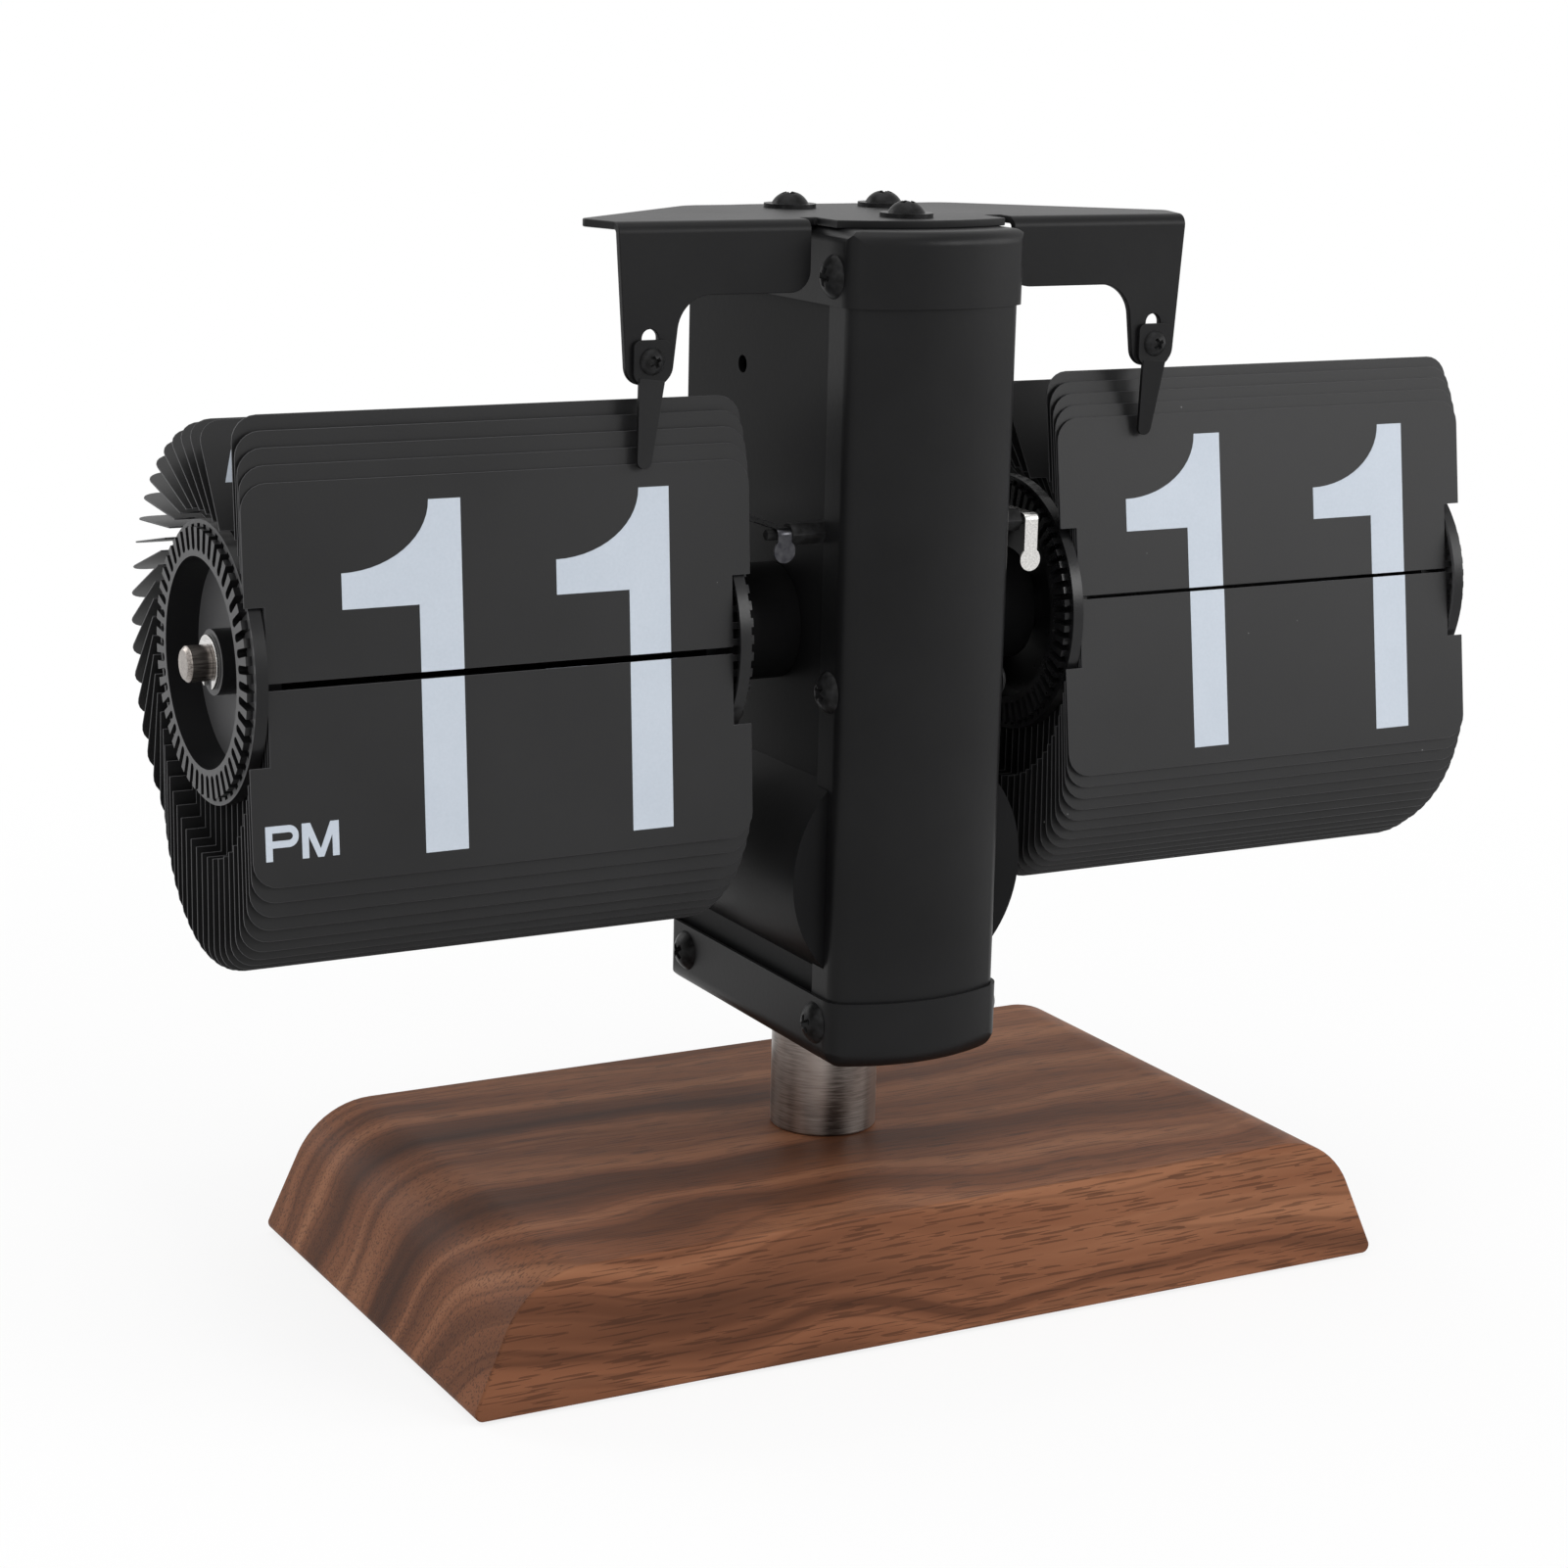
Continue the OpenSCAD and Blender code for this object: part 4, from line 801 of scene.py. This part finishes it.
for drum in ("hour", "minute"):
    for group in ("_flaps_upright", "_flaps_fan", "_flaps_hanging", "_front_flap"):
        leaves = dress(drum + group, flap_plastic, edge=FLAP_EDGE, steps=1)
        mark_painted_edge_highlights(leaves)

# Printed numbers
# Pale numerals screen-printed across each pair of flaps, cut at the seam, with a small half-day
# mark at the lower left of the hour. The lower halves move with the front flaps, and the number
# before them is on the backs of these flaps and on the leaves behind.
PRINT_FACE = 0.115
PRINT_THICKNESS = 0.02
INK_THIN = (0.42, 0.465, 0.525)
INK_FULL = (0.465, 0.51, 0.57)
FLAP_LIP = 0.65
HOUR_UPPER = (-21.876, 101.405, 4)
HOUR_LOWER = (-21.947, 99.143, 184)
HOUR_BEHIND = (-21.342, 96.903, 183.6)
HOUR_EDGES = (-69.4, -38.5)
MINUTE_UPPER = (-21.386, 104.685, 8)
MINUTE_LOWER = (-21.832, 102.908, 188)
MINUTE_BEHIND = (-21.709, 101.104, 187.2)
MINUTE_EDGES = (54.7, 89.0)
FAN_LEAF = (-17.455, 111.735, 33.5)
STROKE = 6.2
STROKE_TOP = 4.6
FLAG_REACH = 17.1
FLAG_LOW = 8.4
FLAG_HIGH = 13.2
NUMERAL_TOP = 22.3
NUMERAL_BOTTOM = 22.9
NOUGHT_WIDTH = 20
NOUGHT_ROUND = 8.6
NOUGHT_INSET = 1.2
MARK_LEFT = -98.2
MARK_BASE = 17.2
MARK_HEIGHT = 4.7
MARK_STROKE = 0.95
MARK_BOWL = 2.95
BOWL_EASE = 0.1
BOWL_THIN = 0.15
LETTER_P = 4.6
LETTER_M = 5.2
LETTER_GAP = 0.45
MORNING_BASE = 16.3
MORNING_INSET = 0.4
CURVE_STEPS = 14
ink, shader, place = start_finish("pale_print", {"Specular IOR Level": 0.3})
coverage = noise(place, size=0.4, detail=2.0)
shade = noise(place, size=12, detail=2.0)
colours(coverage * 0.5 + shade * 0.5, (0.3, INK_THIN), (0.7, INK_FULL)).feed(shader, "Base Color")
(0.5 + coverage * 0.1).feed(shader, "Roughness")
bump(coverage, shader, depth=0.004)


def print_on(name, leaf, outlines, body, on_back=False):
    """Prints closed outlines, drawn across and out from the ears, on one side of a flap."""
    shape = outline_curve(name, outlines)
    shape.extrude = PRINT_THICKNESS / 2 * MM
    y, z, turn = leaf
    tilt = radians(turn)
    rise = Vector((0, sin(tilt), cos(tilt)))
    facing = Vector((0, -cos(tilt), sin(tilt))) * (1 if (cos(tilt) > 0) != on_back else -1)
    side = rise.cross(facing)
    origin = Vector((0, y, z)) * MM + facing * ((PRINT_FACE + PRINT_THICKNESS / 2) * MM)
    turned = Matrix((side, rise, facing)).transposed().to_4x4()
    piece = solid_from(shape, Matrix.Translation(origin) @ turned)
    piece.data.materials.append(ink)
    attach(piece, body)


def upper_one(edge):
    """Upper half of a 1 whose right edge lies at the given place; its flag sweeps out in a hollow."""
    left = edge - FLAG_REACH
    reach = FLAG_REACH - STROKE_TOP
    drop = NUMERAL_TOP - FLAG_HIGH
    turns = [radians(90 * i / CURVE_STEPS) for i in range(CURVE_STEPS + 1)]
    hollow = [(left + reach * cos(turn), NUMERAL_TOP - drop * sin(turn)) for turn in turns]
    return [(edge, -FLAP_LIP), (edge, NUMERAL_TOP), *hollow, (left, FLAG_LOW),
            (edge - STROKE, FLAG_LOW), (edge - STROKE, -FLAP_LIP)]


def lower_one(edge):
    """Lower half of a 1, measured down from the seam."""
    left = edge - STROKE
    return [(edge, -FLAP_LIP), (edge, NUMERAL_BOTTOM), (left, NUMERAL_BOTTOM), (left, -FLAP_LIP)]


def mirrored(outline):
    """On the lower flaps the rise points down, so across runs the other way."""
    return [(-x, rise) for x, rise in outline]


def corner_arc(x, y, radius, start):
    """A quarter turn round a corner's centre, from the given angle in degrees."""
    return arc((x, y), radius, start, start + 90, CURVE_STEPS)


def half_nought(edge, reach):
    """Half of a 0 in the place of a 1, from the seam to the given reach."""
    right = edge + NOUGHT_INSET
    left = right - NOUGHT_WIDTH
    inner_round = NOUGHT_ROUND - STROKE_TOP
    inner_top = reach - STROKE_TOP
    outside = [*corner_arc(right - NOUGHT_ROUND, reach - NOUGHT_ROUND, NOUGHT_ROUND, 0),
               *corner_arc(left + NOUGHT_ROUND, reach - NOUGHT_ROUND, NOUGHT_ROUND, 90)]
    inside = [*corner_arc(right - STROKE - inner_round, inner_top - inner_round, inner_round, 0),
              *corner_arc(left + STROKE + inner_round, inner_top - inner_round, inner_round, 90)]
    return [(right, -FLAP_LIP), *outside, (left, -FLAP_LIP), (left + STROKE, -FLAP_LIP), *inside[::-1],
            (right - STROKE, -FLAP_LIP)]


def letter_p():
    """Outline and hollow of a P, drawn up from its base line."""
    foot = MARK_HEIGHT - MARK_BOWL
    outer = MARK_BOWL / 2 - BOWL_EASE
    inner = outer - MARK_STROKE + BOWL_THIN
    bend = LETTER_P - outer
    outline = [(0, 0), (MARK_STROKE, 0), (MARK_STROKE, foot), *corner_arc(bend, foot + outer, outer, -90),
               *corner_arc(bend, MARK_HEIGHT - outer, outer, 0), (0, MARK_HEIGHT)]
    low = foot + MARK_STROKE
    high = MARK_HEIGHT - MARK_STROKE
    hollow = [(MARK_STROKE, low), *corner_arc(bend, low + inner, inner, -90),
              *corner_arc(bend, high - inner, inner, 0), (MARK_STROKE, high)]
    return [outline, hollow]


def letter_a():
    """Outline and hollow of an A, drawn up from its base line."""
    middle = LETTER_P / 2
    half = [(LETTER_P, 0), (middle + MARK_STROKE * 0.6, MARK_HEIGHT)]
    inner = [(LETTER_P - MARK_STROKE * 1.15, 0), (LETTER_P - MARK_STROKE * 1.45, MARK_STROKE)]
    outline = half + [(LETTER_P - x, y) for x, y in reversed(half)]
    outline += [(LETTER_P - x, y) for x, y in inner] + inner[::-1]
    bar = 2 * MARK_STROKE
    reach = MARK_STROKE * 0.7
    hollow = [(middle - reach, bar), (middle + reach, bar), (middle, MARK_HEIGHT * 0.8)]
    return [outline, hollow]


def letter_m():
    """Outline of an M, drawn up from its base line."""
    middle = LETTER_M / 2
    half = [(middle + MARK_STROKE * 0.45, 0), (LETTER_M - MARK_STROKE, MARK_HEIGHT * 0.62),
            (LETTER_M - MARK_STROKE, 0), (LETTER_M, 0), (LETTER_M, MARK_HEIGHT),
            (LETTER_M - MARK_STROKE * 1.25, MARK_HEIGHT), (middle, MARK_STROKE * 1.2)]
    return [half + [(LETTER_M - x, y) for x, y in reversed(half[:-1])]]


def half_day_mark(first_letter):
    """A first letter and an M side by side at the left margin, with their base line at zero."""
    shift = LETTER_P + LETTER_GAP
    second_letter = [[(x + shift, y) for x, y in outline] for outline in letter_m()]
    return [[(MARK_LEFT + x, y) for x, y in outline] for outline in first_letter + second_letter]


print_on("hour_print_upper", HOUR_UPPER, [upper_one(edge) for edge in HOUR_EDGES], "clock_frame")
print_on("minute_print_upper", MINUTE_UPPER, [upper_one(edge) for edge in MINUTE_EDGES], "clock_frame")
for drum, lower_leaf, edges in [("hour", HOUR_LOWER, HOUR_EDGES), ("minute", MINUTE_LOWER, MINUTE_EDGES)]:
    lower_halves = [mirrored(lower_one(edge)) for edge in edges]
    print_on(drum + "_print_lower", lower_leaf, lower_halves, drum + "_front_flap")
for drum, lower_leaf, leaf_behind, edges in [("hour", HOUR_LOWER, HOUR_BEHIND, HOUR_EDGES),
                                             ("minute", MINUTE_LOWER, MINUTE_BEHIND, MINUTE_EDGES)]:
    earlier_upper = [upper_one(edges[0]), half_nought(edges[1], NUMERAL_TOP)]
    earlier_lower = [mirrored(lower_one(edges[0])), mirrored(half_nought(edges[1], NUMERAL_BOTTOM))]
    print_on(drum + "_earlier_upper", lower_leaf, earlier_upper, drum + "_front_flap", on_back=True)
    print_on(drum + "_earlier_lower", leaf_behind, earlier_lower, "clock_frame")
evening = [[(-x, MARK_BASE + MARK_HEIGHT - y) for x, y in outline]
           for outline in half_day_mark(letter_p())]
morning = [[(x + MORNING_INSET, MORNING_BASE + y) for x, y in outline]
           for outline in half_day_mark(letter_a())]
print_on("evening_mark", HOUR_LOWER, evening, "hour_front_flap")
print_on("earlier_evening_mark", HOUR_BEHIND, evening, "clock_frame")
print_on("morning_mark", FAN_LEAF, morning, "clock_frame")
